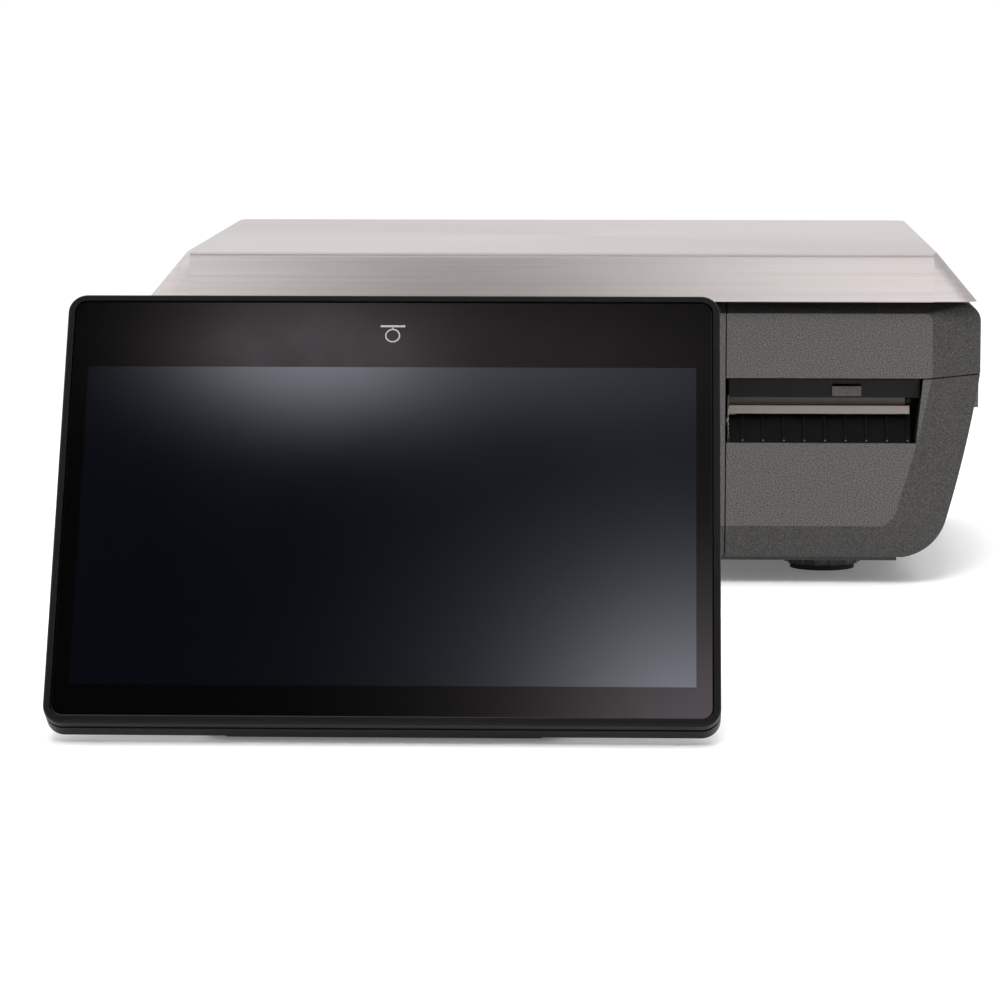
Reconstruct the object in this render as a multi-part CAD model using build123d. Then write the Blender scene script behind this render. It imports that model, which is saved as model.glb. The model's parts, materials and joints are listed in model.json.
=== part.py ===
from build123d import *
import math
import os

# Retail price scale: a low weigher with a stainless platter and a label printer drawer at
# its right front, and a tilting touch console that stands in front of it on a steel link
# plate. Millimetres. +X is the operator's right, +Y points away from the operator, +Z is
# up. The origin is at the centre of the outer box, on the counter.

# ---------------------------------------------------------------- driving dimensions
# Overall layout
OVERALL_DEPTH = 769.0        # console's lower front edge to the weigher's rear wall
HOUSING_WIDTH = 427.5        # weigher body, widest at the waist
HOUSING_DEPTH = 304.5
DECK_Z = 145.5               # top of the weigher body
BODY_BOTTOM_Z = 15.2         # lower edge of the mouldings above the counter
PAN_Z = 13.0                 # underside of the steel pan, which shows below them
CONSOLE_X = -63.5            # console centreline, left of the weigher's centreline

# Platter
PLATTER_WIDTH = 381.0        # flat top
PLATTER_DEPTH = 305.0
PLATTER_TOP_Z = 172.0
PLATTER_OVERHANG = 8.2       # platter front edge ahead of the body's front face
PLATTER_SHEET = 1.5
PLATTER_SKIRT = 24.5         # height of the folded front and rear flanges
FLANGE_WIDTH = 377.0
WING_RUN = 20.6              # how far each side wing reaches out past the flat top
GUSSET_SETBACK = 2.2         # wing ends stand this far behind the flange faces
WING_RADIUS = 7.0            # rolled edge between a wing and its end gusset
PLATTER_FOLD_RADIUS = 2.5

# Weigher body shell
WALL = 2.8
TOP_RADIUS = 9.0
WAIST_Z = 110.0              # seam height at the side wall
SEAM_Z = 108.0               # top of the label slot, where the cover ends in front
SIDE_TAPER = 16.5            # side wall lean from the waist to the lower corner
SIDE_BOW = 1.3               # how far the leaning wall bows outwards at its middle
LOW_CORNER_Z = 35.0          # where the leaning wall turns into the lower corner
CORNER_RUN = 38.5            # from the widest point to where the underside is flat
CAP_DEPTH = 9.0              # depth of the slanted band round the front face
CAP_SIDE = 25.0              # width of that band at the sides
CAP_BOTTOM = 17.0            # and along the bottom
CAP_CORNER_RUN = 24.5
MODULE_X = 84.0              # vertical seam between the main housing and the printer
SEAM_GAP = 0.6
PAN_SHEET = 2.5

# Label slot and printer drawer
SLOT_BOTTOM_Z = 74.8
SLOT_END_TOP_X = 184.8
SLOT_END_BOTTOM_X = 180.9
DRAWER_DEPTH = 220.0         # length of the drawer's side wall
TRAY_Z = 27.0
TRAY_SHEET = 1.5
ROLL_DIAMETER = 76.0
ROLL_WIDTH = 58.0
ROLL_CORE_DIAMETER = 26.0
PLATEN_RADIUS = 7.0
PLATEN_SHAFT_RADIUS = 3.0
TEAR_BAR_END_X = 177.7
RIB_PITCH = 10.5
GEAR_MODULE = 0.8
PLATEN_TEETH = 30
PINION_TEETH = 14
GEAR_WIDTH = 4.0
RUNNING_CLEARANCE = 0.05     # radial, shaft in bore
SLIDE_CLEARANCE = 0.4        # between sliding faces
MOVING_CLEARANCE = 0.3

# Weighing parts
CELL_LENGTH = 150.0
CELL_WIDTH = 40.0
CELL_HEIGHT = 40.0
CELL_Z = 80.0
SPIDER_Z = 149.0
SPIDER_HEIGHT = 12.0

# Levelling feet
FOOT_X = 137.0
FOOT_FRONT_INSET = 84.0      # front feet behind the body's front face
FOOT_REAR_INSET = 48.0       # rear feet ahead of the body's rear face
FOOT_RADIUS = 20.0
FOOT_LOBES = 14
FOOT_PAD_HEIGHT = 3.0
FOOT_WHEEL_HEIGHT = 8.5
STUD_RADIUS = 4.0

# Console
TILT = 31.0                  # screen leans back from upright
CONSOLE_W = 276.5
CONSOLE_H = 195.0
CONSOLE_T = 16.5
CONSOLE_LIFT = 1.0           # lower rear edge above the counter
CONSOLE_CORNER = 8.0
CONSOLE_EDGE = 1.2           # rounding of the frame's front edge
RIM = 2.9                    # visible frame rim round the glass
FRAME_T = 4.5
GROOVE_T = 2.0
GROOVE_IN = 1.2
GLASS_T = 2.0
SCREEN_W = 256.3
SCREEN_H = 144.2
SCREEN_BOTTOM = 17.0         # picture area above the console's lower edge
HINGE_UP = 64.0              # hinge axis above the console's lower edge, along the slope
HINGE_BACK = 34.0            # and behind the glass
HINGE_PIN_RADIUS = 4.0
KNUCKLE_RADIUS = 8.5
KNUCKLE_HALF = 34.0
STAND_WIDTH = 146.0
PLATE_T = 4.0
PAD_T = 1.2
PAD_WIDTH = 10.0
LINK_WIDTH = 90.0

# ---------------------------------------------------------------- places worked out
SLOPE_SIN = math.sin(math.radians(TILT))
SLOPE_COS = math.cos(math.radians(TILT))
REAR_Y = OVERALL_DEPTH / 2
EDGE_SETBACK = CONSOLE_EDGE * (SLOPE_COS + SLOPE_SIN - 1)    # lost at the tilted lower edge
CONSOLE_FRONT_Y = -OVERALL_DEPTH / 2 - EDGE_SETBACK
HOUSING_FRONT_Y = REAR_Y - HOUSING_DEPTH
HALF_WIDTH = HOUSING_WIDTH / 2
PLATTER_FRONT_Y = HOUSING_FRONT_Y - PLATTER_OVERHANG
PLATTER_REAR_Y = PLATTER_FRONT_Y + PLATTER_DEPTH
PLATTER_Y = (PLATTER_FRONT_Y + PLATTER_REAR_Y) / 2
PAN_TOP_Z = PAN_Z + PAN_SHEET
DRAWER_REAR_Y = HOUSING_FRONT_Y + DRAWER_DEPTH
BAY_X = MODULE_X + SEAM_GAP / 2              # left side of everything in the printer
FOOT_FRONT_Y = HOUSING_FRONT_Y + FOOT_FRONT_INSET
FOOT_REAR_Y = REAR_Y - FOOT_REAR_INSET
LAP = 5.0                                    # cutters run this far past a face

# Printer mechanism, side view (Y, Z)
PLATEN_Y = HOUSING_FRONT_Y + 24.0
PLATEN_Z = SLOT_BOTTOM_Z + 9.2
NIP_Z = PLATEN_Z + PLATEN_RADIUS
ROLL_Z = TRAY_Z + TRAY_SHEET + 1.0 + ROLL_DIAMETER / 2
ROLL_Y = HOUSING_FRONT_Y + 104.0
CHASSIS_LEFT_X = BAY_X + 5.7
CHASSIS_RIGHT_X = SLOT_END_BOTTOM_X - 4.9
CHASSIS_SHEET = 1.5
HEAD_AXIS_Y = PLATEN_Y + 24.0
HEAD_AXIS_Z = NIP_Z + 6.0
HEAD_SHAFT_RADIUS = 2.5

# Console hinge axis
CONSOLE_FRONT_Z = CONSOLE_LIFT + CONSOLE_T * SLOPE_SIN
HINGE_Y = CONSOLE_FRONT_Y + HINGE_BACK * SLOPE_COS + HINGE_UP * SLOPE_SIN
HINGE_Z = CONSOLE_FRONT_Z - HINGE_BACK * SLOPE_SIN + HINGE_UP * SLOPE_COS
PLATE_TOP_Z = PAD_T + PLATE_T


# ---------------------------------------------------------------- shared shapes
def block(x0, x1, y0, y1, z0, z1):
    """A box between two corners."""
    centre = Pos((x0 + x1) / 2, (y0 + y1) / 2, (z0 + z1) / 2)
    return centre * Box(x1 - x0, y1 - y0, z1 - z0)


def rod_x(x0, x1, y, z, radius):
    """A round bar along X."""
    return Pos((x0 + x1) / 2, y, z) * Rot(0, 90, 0) * Cylinder(radius, x1 - x0)


def rod_y(x, y0, y1, z, radius):
    """A round bar along Y."""
    return Pos(x, (y0 + y1) / 2, z) * Rot(90, 0, 0) * Cylinder(radius, y1 - y0)


SOCKET_SHARE = 0.6           # depth of a screw's socket, as a share of its head


def rod_z(x, y, z0, z1, radius):
    """A round bar along Z."""
    return Pos(x, y, (z0 + z1) / 2) * Cylinder(radius, z1 - z0)


def side_prism(points, x0, x1):
    """A straight-sided outline in (Y, Z), stretched along X."""
    outline = make_face(Polyline(*points, close=True))
    return extrude(Plane.YZ.offset(x0) * outline, amount=x1 - x0)


def front_prism(points, y0, y1):
    """A straight-sided outline in (X, Z), stretched along Y."""
    outline = make_face(Polyline(*points, close=True))
    return extrude(Plane.XZ.offset(-y1) * outline, amount=y1 - y0)


def cap_screw(x, y, z, head_radius, shank_radius, length, up):
    """A screw along Z: its head's seat is at z, and up is +1 where the shank points up."""
    head_end = z - up * head_radius
    shank_end = z + up * length
    socket_floor = head_end + up * head_radius * SOCKET_SHARE
    screw = rod_z(x, y, *sorted((head_end, z)), head_radius)
    screw += rod_z(x, y, *sorted((z, shank_end)), shank_radius)
    return screw - rod_z(x, y, *sorted((head_end, socket_floor)), head_radius / 2)


# ---------------------------------------------------------------- weigher body shell
def body_section(half, top, bottom, top_radius, low_z, corner_run):
    """Front-view outline of the weigher body, symmetric about X = 0."""
    side_mid_z = (WAIST_Z + low_z) / 2
    side_mid_x = half - SIDE_TAPER / 2 + SIDE_BOW
    corner_x = corner_run - SIDE_TAPER
    corner_mid = (half - SIDE_TAPER - 0.3 * corner_x, low_z - 0.6 * (low_z - bottom))
    shoulder = top_radius * (1 - math.sqrt(0.5))
    edges = [Line((-half + corner_run, bottom), (half - corner_run, bottom))]
    for side in (1, -1):
        edges += [
            ThreePointArc(
                (side * (half - corner_run), bottom),
                (side * corner_mid[0], corner_mid[1]),
                (side * (half - SIDE_TAPER), low_z),
            ),
            ThreePointArc(
                (side * (half - SIDE_TAPER), low_z),
                (side * side_mid_x, side_mid_z),
                (side * half, WAIST_Z),
            ),
            Line((side * half, WAIST_Z), (side * half, top - top_radius)),
            ThreePointArc(
                (side * half, top - top_radius),
                (side * (half - shoulder), top - shoulder),
                (side * (half - top_radius), top),
            ),
        ]
    edges.append(Line((-half + top_radius, top), (half - top_radius, top)))
    return make_face(edges)


def body_solid(inset, floor_drop):
    """The weigher body as a solid, pulled in by inset, its underside lowered by floor_drop."""
    half = HALF_WIDTH - inset
    top = DECK_Z - inset
    bottom = BODY_BOTTOM_Z + inset - floor_drop
    full = body_section(half, top, bottom, TOP_RADIUS - inset / 2, LOW_CORNER_Z, CORNER_RUN)
    face = body_section(
        half - CAP_SIDE + inset / 2,
        top - TOP_RADIUS / 2,
        BODY_BOTTOM_Z + CAP_BOTTOM + inset / 2 - floor_drop,
        TOP_RADIUS / 2,
        LOW_CORNER_Z + CAP_DEPTH,
        CAP_CORNER_RUN,
    )
    front = HOUSING_FRONT_Y + inset
    cap_end = HOUSING_FRONT_Y + CAP_DEPTH + inset
    cap = loft([Plane.XZ.offset(-front) * face, Plane.XZ.offset(-cap_end) * full], ruled=True)
    rear = REAR_Y - inset
    trunk = extrude(Plane.XZ.offset(-rear) * full, amount=rear - cap_end)
    return cap + trunk


def body_shell():
    """The hollow weigher body, open underneath, before it is parted into its mouldings."""
    return body_solid(0, 0) - body_solid(WALL, 2 * WALL)


def drawer_zone(gap):
    """Everything below the printer seam, back to the drawer's rear edge."""
    side_x = HALF_WIDTH + LAP
    seam = [
        (BAY_X - gap, -LAP),
        (side_x, -LAP),
        (side_x, WAIST_Z - SEAM_GAP + gap),
        (HALF_WIDTH, WAIST_Z - SEAM_GAP + gap),
        (SLOT_END_TOP_X, SEAM_Z - SEAM_GAP + gap),
        (BAY_X - gap, SEAM_Z - SEAM_GAP + gap),
    ]
    return front_prism(seam, HOUSING_FRONT_Y - LAP, DRAWER_REAR_Y + gap)


REAR_PANEL_X0 = -160.0
REAR_PANEL_X1 = 62.0
REAR_PANEL_Z0 = 27.0
REAR_PANEL_Z1 = 92.0
CELL_FRONT_Y = PLATTER_Y - CELL_LENGTH / 2
CELL_REAR_Y = PLATTER_Y + CELL_LENGTH / 2
BLOCK_LENGTH = 46.0
DECK_GAP = 9.0               # free space round the load cell's block where it passes the deck
PARTITION_LIFT = 1.0
LUG_Y = (HOUSING_FRONT_Y + 40.0, HOUSING_FRONT_Y + 150.0, HOUSING_FRONT_Y + 260.0)
LUG_REACH = 6.0              # lugs that join the printer cover to the housing's side wall
LUG_HALF = 5.0
LUG_HEIGHT = 8.0
LEVEL_X = -150.0
LEVEL_Y = HOUSING_FRONT_Y + 30.0
LEVEL_RADIUS = 9.0
LEVEL_HEIGHT = 9.0
LEVEL_PROUD = 0.6


def module_block(x0, x1):
    """A block over the whole body between two widths, to part the shell into mouldings."""
    return block(x0, x1, HOUSING_FRONT_Y - LAP, REAR_Y + LAP, 0, DECK_Z + LAP)


def main_housing():
    """Moulded cover over the weighing parts, with the wall beside the printer drawer."""
    side_x = MODULE_X - SEAM_GAP / 2
    shell = body_shell() & module_block(-HALF_WIDTH - LAP, side_x)
    shell += block(
        side_x - WALL,
        side_x,
        HOUSING_FRONT_Y + CAP_DEPTH,
        REAR_Y - WALL / 2,
        PAN_TOP_Z + PARTITION_LIFT,
        DECK_Z - WALL / 2,
    )
    half_cell = CELL_WIDTH / 2 + DECK_GAP
    cell_y0 = CELL_FRONT_Y - DECK_GAP
    cell_y1 = CELL_FRONT_Y + BLOCK_LENGTH + DECK_GAP
    shell -= block(-half_cell, half_cell, cell_y0, cell_y1, DECK_Z - WALL - LAP / 2, DECK_Z + LAP)
    rear_y = (REAR_Y - LAP, REAR_Y + LAP)
    shell -= block(REAR_PANEL_X0, REAR_PANEL_X1, *rear_y, REAR_PANEL_Z0, REAR_PANEL_Z1)
    shell -= rod_z(LEVEL_X, LEVEL_Y, DECK_Z - LAP, DECK_Z + LAP, LEVEL_RADIUS)
    return shell


def printer_cover():
    """Moulded cover over the printer bay, with the fixed rear corner behind the drawer."""
    keep = module_block(BAY_X, HALF_WIDTH + LAP)
    cover = (body_shell() & keep) - drawer_zone(SEAM_GAP)
    lug_x0 = MODULE_X - SEAM_GAP / 2
    lug_z1 = DECK_Z - WALL / 2
    for y in LUG_Y:
        cover += block(lug_x0, lug_x0 + LUG_REACH, y - LUG_HALF, y + LUG_HALF, lug_z1 - LUG_HEIGHT, lug_z1)
    return cover


LATCH_Y0 = HOUSING_FRONT_Y + 20.0
LATCH_LENGTH = 30.0
LATCH_Z0 = 91.5
LATCH_Z1 = WAIST_Z - 1.4
LATCH_T = 3.0
LATCH_GAP = 1.0              # round the tab in its window
LATCH_SWING_GAP = 3.4        # behind the tab, which swings back as it is pulled out
LATCH_PIN_RADIUS = 1.5
LATCH_KNUCKLE = 3.2
LATCH_PIN_X = HALF_WIDTH - 9.0
LATCH_PIN_Y = LATCH_Y0 + LATCH_LENGTH - 4.0
LATCH_PIN_LENGTH = 7.0
LATCH_BOSS_HEIGHT = 8.0
GRIP_INSET = 4.0
GRIP_LENGTH = 10.0
GRIP_SKIN = 1.2
HOOK_REACH = 6.0
HOOK_T = 2.8
HOOK_LENGTH = 12.0
HOOK_INSET = 4.0             # above and below the hook and its web
CHEEK_DEPTH = 16.0
TRAY_POST_X = (BAY_X + 20.0, BAY_X + 65.0)
TRAY_POST_RADIUS = 4.0
TRAY_POST_UP = 10.0
TRAY_FRONT_Y = HOUSING_FRONT_Y + CAP_DEPTH + 4.0


def slot_end(z_low, z_high, outwards):
    """Two points up the slanted right end of the label slot, moved outwards from it."""
    return [(SLOT_END_BOTTOM_X + outwards, z_low), (SLOT_END_TOP_X + outwards, z_high)]


def drawer_shell():
    """Moulded front and right side of the printer drawer, cut out for the label slot."""
    keep = module_block(BAY_X, HALF_WIDTH + LAP)
    shell = (body_shell() & keep) & drawer_zone(0)
    left_x = BAY_X - LAP
    slot = slot_end(SLOT_BOTTOM_Z, SEAM_Z + LAP, 0) + [(left_x, SEAM_Z + LAP), (left_x, SLOT_BOTTOM_Z)]
    shell -= front_prism(slot, HOUSING_FRONT_Y - LAP, HOUSING_FRONT_Y + CAP_DEPTH + LAP)
    front_inner = HOUSING_FRONT_Y + WALL
    cheek_z = (SLOT_BOTTOM_Z, SEAM_Z - SEAM_GAP)
    cheek = slot_end(*cheek_z, 0) + slot_end(*cheek_z, WALL)[::-1]
    shell += front_prism(cheek, front_inner - WALL / 2, front_inner + CHEEK_DEPTH)
    shell -= block(
        HALF_WIDTH - 4 * WALL,
        HALF_WIDTH + LAP,
        LATCH_Y0 - LATCH_GAP,
        LATCH_Y0 + LATCH_LENGTH + LATCH_SWING_GAP,
        LATCH_Z0 - LATCH_GAP,
        WAIST_Z + LAP,
    )
    boss_z1 = LATCH_Z0 - LATCH_GAP
    boss_z0 = boss_z1 - LATCH_BOSS_HEIGHT
    boss_y = (LATCH_PIN_Y - LATCH_KNUCKLE, LATCH_PIN_Y + LATCH_KNUCKLE)
    boss = rod_z(LATCH_PIN_X, LATCH_PIN_Y, boss_z0, boss_z1, LATCH_KNUCKLE)
    boss += block(LATCH_PIN_X, HALF_WIDTH, *boss_y, boss_z0, boss_z1)
    shell += boss & body_solid(WALL / 2, 0)
    pin_bore = LATCH_PIN_RADIUS + RUNNING_CLEARANCE
    shell -= rod_z(LATCH_PIN_X, LATCH_PIN_Y, boss_z0 + LATCH_GAP, boss_z1 + LAP, pin_bore)
    for x in TRAY_POST_X:
        post_z = TRAY_Z + TRAY_POST_UP
        shell += rod_y(x, front_inner - WALL / 2, TRAY_FRONT_Y, post_z, TRAY_POST_RADIUS)
    return shell


def latch_tab():
    """Sprung pull tab in the drawer's side wall, with its hook and its moulded pivot."""
    inner_x = HALF_WIDTH - LATCH_T
    tab = block(inner_x, HALF_WIDTH, LATCH_Y0, LATCH_Y0 + LATCH_LENGTH, LATCH_Z0, LATCH_Z1)
    grip_y = LATCH_Y0 + GRIP_INSET
    grip_x = (inner_x - LAP, HALF_WIDTH - GRIP_SKIN)
    tab -= block(*grip_x, grip_y, grip_y + GRIP_LENGTH, LATCH_Z0 - LAP, LATCH_Z1 - GRIP_LENGTH)
    tab += rod_z(LATCH_PIN_X, LATCH_PIN_Y, LATCH_Z0, LATCH_Z1, LATCH_KNUCKLE)
    web_y0 = LATCH_PIN_Y - LATCH_T / 2
    web_y1 = LATCH_PIN_Y + LATCH_T / 2
    hook_x = LATCH_PIN_X - HOOK_REACH
    hook_z = (LATCH_Z0 + HOOK_INSET, LATCH_Z1 - HOOK_INSET)
    tab += block(hook_x, inner_x, web_y0, web_y1, *hook_z)
    tab += block(hook_x, hook_x + HOOK_T, web_y0, web_y1 + HOOK_LENGTH, *hook_z)
    tab += block(hook_x, LATCH_PIN_X, web_y1 + HOOK_LENGTH - HOOK_T, web_y1 + HOOK_LENGTH, *hook_z)
    return tab + rod_z(LATCH_PIN_X, LATCH_PIN_Y, LATCH_Z0 - LATCH_PIN_LENGTH, LATCH_Z0, LATCH_PIN_RADIUS)


# ---------------------------------------------------------------- base and feet
def foot_places():
    """Centres of the four feet, front pair first."""
    return [
        (-FOOT_X, FOOT_FRONT_Y),
        (FOOT_X, FOOT_FRONT_Y),
        (-FOOT_X, FOOT_REAR_Y),
        (FOOT_X, FOOT_REAR_Y),
    ]


BOSS_TOP_Z = TRAY_Z - 1.0
BOSS_RADIUS = 9.0
PAN_HALF_X = HALF_WIDTH - CORNER_RUN - 3.0
PAN_FRONT_Y = HOUSING_FRONT_Y + CAP_DEPTH + 3.5
PAN_REAR_Y = REAR_Y - WALL - 0.8
PAN_RIM = 7.0
PAN_RIM_TOP_Z = PAN_TOP_Z + PAN_RIM
LOBE_RADIUS = 2.6
LOBE_PROUD = 1.0             # how far each lobe stands out of the wheel
SPIGOT_RADIUS = STUD_RADIUS + 1.0
SPIGOT_HEIGHT = 2.6
PAN_SCREW_INSET = 14.0


def base_pan():
    """Pressed steel pan under the weigher, with a stiffening rim and four threaded bosses."""
    pan = block(-PAN_HALF_X, PAN_HALF_X, PAN_FRONT_Y, PAN_REAR_Y, PAN_Z, PAN_TOP_Z)
    rim_x = MODULE_X - SEAM_GAP / 2 - WALL - PARTITION_LIFT
    rim = block(-PAN_HALF_X, rim_x, PAN_FRONT_Y, PAN_REAR_Y, PAN_TOP_Z, PAN_RIM_TOP_Z)
    rim -= block(
        -PAN_HALF_X + PAN_SHEET,
        rim_x - PAN_SHEET,
        PAN_FRONT_Y + PAN_SHEET,
        PAN_REAR_Y - PAN_SHEET,
        PAN_TOP_Z,
        PAN_RIM_TOP_Z,
    )
    pan += rim
    for x, y in foot_places():
        pan += rod_z(x, y, PAN_Z, BOSS_TOP_Z, BOSS_RADIUS)
    for x, y in foot_places():
        pan -= rod_z(x, y, PAN_Z - LAP, BOSS_TOP_Z + LAP, STUD_RADIUS + RUNNING_CLEARANCE)
    return pan


def foot_wheel(x, y):
    """Lobed thumbwheel moulded on its threaded stud; turning it raises the weigher."""
    top = FOOT_PAD_HEIGHT + FOOT_WHEEL_HEIGHT
    wheel = rod_z(x, y, FOOT_PAD_HEIGHT, top, FOOT_RADIUS - LOBE_PROUD)
    lobe_circle = FOOT_RADIUS - LOBE_RADIUS
    for lobe in range(FOOT_LOBES):
        turn = math.radians(360 * lobe / FOOT_LOBES)
        lobe_x = x + lobe_circle * math.cos(turn)
        lobe_y = y + lobe_circle * math.sin(turn)
        wheel += rod_z(lobe_x, lobe_y, FOOT_PAD_HEIGHT, top, LOBE_RADIUS)
    wheel += rod_z(x, y, top, BOSS_TOP_Z - RUNNING_CLEARANCE, STUD_RADIUS)
    recess_top = FOOT_PAD_HEIGHT + SPIGOT_HEIGHT + MOVING_CLEARANCE
    return wheel - rod_z(x, y, 0, recess_top, SPIGOT_RADIUS + RUNNING_CLEARANCE)


def foot_pad(x, y):
    """Rubber pad that stays still on the counter while the thumbwheel turns on its spigot."""
    pad = rod_z(x, y, 0, FOOT_PAD_HEIGHT - MOVING_CLEARANCE, FOOT_RADIUS - 3)
    return pad + rod_z(x, y, 0, FOOT_PAD_HEIGHT + SPIGOT_HEIGHT, SPIGOT_RADIUS)


def housing_screws():
    """Pan-head screws that hold the housing and the pan together from below."""
    screws = []
    for x in (-PAN_HALF_X + PAN_SCREW_INSET, MODULE_X - PAN_SCREW_INSET):
        for y in (PAN_FRONT_Y + PAN_SCREW_INSET, PLATTER_Y, PAN_REAR_Y - PAN_SCREW_INSET):
            screws.append(cap_screw(x, y, PAN_Z, 3.5, 1.9, PAN_SHEET + PAN_RIM, 1))
    return screws


# ---------------------------------------------------------------- platter and weighing parts
WING_BOTTOM_Z = PLATTER_TOP_Z - PLATTER_SKIRT
SPIDER_ARM_X = 150.0
SPIDER_ARM_Y = 110.0
SPIDER_TOP_Z = SPIDER_Z + SPIDER_HEIGHT
PLATTER_UNDER_Z = PLATTER_TOP_Z - PLATTER_SHEET
CELL_TOP_Z = CELL_Z + CELL_HEIGHT


def wing_body(inset, bottom):
    """Solid with sloping sides that the platter's skin follows, pulled in by inset."""
    half_top = PLATTER_WIDTH / 2 - inset
    half_low = half_top + WING_RUN
    front = PLATTER_FRONT_Y + GUSSET_SETBACK + inset
    rear = PLATTER_REAR_Y - GUSSET_SETBACK - inset
    outline = [
        (-half_low, WING_BOTTOM_Z),
        (-half_top, PLATTER_TOP_Z - inset),
        (half_top, PLATTER_TOP_Z - inset),
        (half_low, WING_BOTTOM_Z),
    ]
    body = front_prism(outline, front, rear)
    slanted = [
        edge
        for edge in body.edges()
        if edge.bounding_box().size.Z > PLATTER_SKIRT / 2
    ]
    body = fillet(slanted, WING_RADIUS - inset)
    if bottom > 0:
        body += block(-half_low, half_low, front, rear, WING_BOTTOM_Z - bottom, WING_BOTTOM_Z)
    return body


def platter():
    """Stainless platter: flat top, folded front and rear flanges, formed side wings."""
    half = PLATTER_WIDTH / 2
    flange_half = FLANGE_WIDTH / 2
    flange = block(
        -flange_half, flange_half, PLATTER_FRONT_Y, PLATTER_REAR_Y, WING_BOTTOM_Z, PLATTER_TOP_Z
    )
    folds = flange.edges().filter_by(Axis.X).group_by(Axis.Z)[-1]
    flange = fillet(folds, PLATTER_FOLD_RADIUS)
    flange -= block(
        -half - LAP,
        half + LAP,
        PLATTER_FRONT_Y + PLATTER_SHEET,
        PLATTER_REAR_Y - PLATTER_SHEET,
        WING_BOTTOM_Z - LAP,
        PLATTER_UNDER_Z,
    )
    skin = wing_body(0, 0) - wing_body(PLATTER_SHEET, LAP)
    return flange + skin


HUB_HALF_X = 38.0
HUB_T = 8.0
HUB_RIM = 10.0
ARM_WIDTH = 14.0
ARM_SETBACK = 28.0           # arms start this far from the hub's centre
ARM_PAD_RADIUS = 12.0
PAD_RADIUS = 8.0


def spider_corners():
    """Centres of the four places where the spider carries the platter."""
    return [
        (side_x * SPIDER_ARM_X, PLATTER_Y + side_y * SPIDER_ARM_Y)
        for side_x in (1, -1)
        for side_y in (1, -1)
    ]


def platter_spider():
    """Die-cast cross that carries the platter on its four arms."""
    y0 = PLATTER_Y - CELL_LENGTH / 2
    y1 = PLATTER_Y + CELL_LENGTH / 2
    hub = block(-HUB_HALF_X, HUB_HALF_X, y0, y1, SPIDER_Z, SPIDER_Z + HUB_T)
    light_x = HUB_HALF_X - HUB_RIM
    light_y0 = y0 + BLOCK_LENGTH + HUB_RIM
    hub -= block(-light_x, light_x, light_y0, y1 - HUB_RIM, SPIDER_Z - LAP, SPIDER_TOP_Z)
    arm_length = math.hypot(SPIDER_ARM_X, SPIDER_ARM_Y) - ARM_SETBACK
    arm = Pos(ARM_SETBACK + arm_length / 2, 0, SPIDER_HEIGHT / 2) * Box(
        arm_length, ARM_WIDTH, SPIDER_HEIGHT
    )
    for x, y in spider_corners():
        turn = math.degrees(math.atan2(y - PLATTER_Y, x))
        hub += Pos(0, PLATTER_Y, SPIDER_Z) * Rot(0, 0, turn) * arm
        hub += rod_z(x, y, SPIDER_Z, SPIDER_TOP_Z, ARM_PAD_RADIUS)
    return hub


def spider_pads():
    """Four rubber support pads between the spider's arms and the platter."""
    return [rod_z(x, y, SPIDER_TOP_Z, PLATTER_UNDER_Z, PAD_RADIUS) for x, y in spider_corners()]


FLEXURE_OFFSET = 17.0        # each flexure bore from the middle
FLEXURE_WEB = 4.0
FLEXURE_SLIT = 8.0
PILLAR_FOOT = 14.0
PILLAR_FOOT_T = 6.0
PILLAR_WALL = 6.0
PILLAR_CAP = 10.0


def load_cell():
    """Single-point load cell: an aluminium bar with a double-hole flexure."""
    half_x = CELL_WIDTH / 2
    out_x = half_x + LAP
    mid_z = CELL_Z + CELL_HEIGHT / 2
    y0 = PLATTER_Y - FLEXURE_OFFSET
    y1 = PLATTER_Y + FLEXURE_OFFSET
    bar = block(-half_x, half_x, CELL_FRONT_Y, CELL_REAR_Y, CELL_Z, CELL_TOP_Z)
    for y in (y0, y1):
        bar -= rod_x(-out_x, out_x, y, mid_z, CELL_HEIGHT / 2 - FLEXURE_WEB)
    return bar - block(-out_x, out_x, y0, y1, mid_z - FLEXURE_SLIT / 2, mid_z + FLEXURE_SLIT / 2)


def load_cell_pedestal():
    """Cast pillar that carries the load cell's rear, fixed end."""
    half_x = CELL_WIDTH / 2
    foot_x = half_x + PILLAR_FOOT
    front = CELL_REAR_Y - BLOCK_LENGTH
    rear = CELL_REAR_Y
    foot_top = PAN_TOP_Z + PILLAR_FOOT_T
    hollow_x = half_x - PILLAR_WALL
    pillar = block(-half_x, half_x, front, rear, PAN_TOP_Z, CELL_Z)
    pillar += block(-foot_x, foot_x, front - PILLAR_FOOT, rear + PILLAR_FOOT, PAN_TOP_Z, foot_top)
    return pillar - block(
        -hollow_x,
        hollow_x,
        front - LAP,
        rear - PILLAR_WALL,
        foot_top + PILLAR_WALL,
        CELL_Z - PILLAR_CAP,
    )


def load_cell_block():
    """Spacer between the load cell's front, live end and the spider."""
    half_x = CELL_WIDTH / 2
    return block(-half_x, half_x, CELL_FRONT_Y, CELL_FRONT_Y + BLOCK_LENGTH, CELL_TOP_Z, SPIDER_Z)


def load_cell_bolts():
    """Bolts of the pedestal's foot."""
    bolts = []
    bolt_x = CELL_WIDTH / 2 + 8
    for x in (-bolt_x, bolt_x):
        for y in (CELL_REAR_Y - BLOCK_LENGTH - PILLAR_FOOT / 2, CELL_REAR_Y + PILLAR_FOOT / 2):
            bolts.append(cap_screw(x, y, PAN_TOP_Z + PILLAR_FOOT_T, 4.5, 2.6, PILLAR_FOOT_T, -1))
    return bolts


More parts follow.
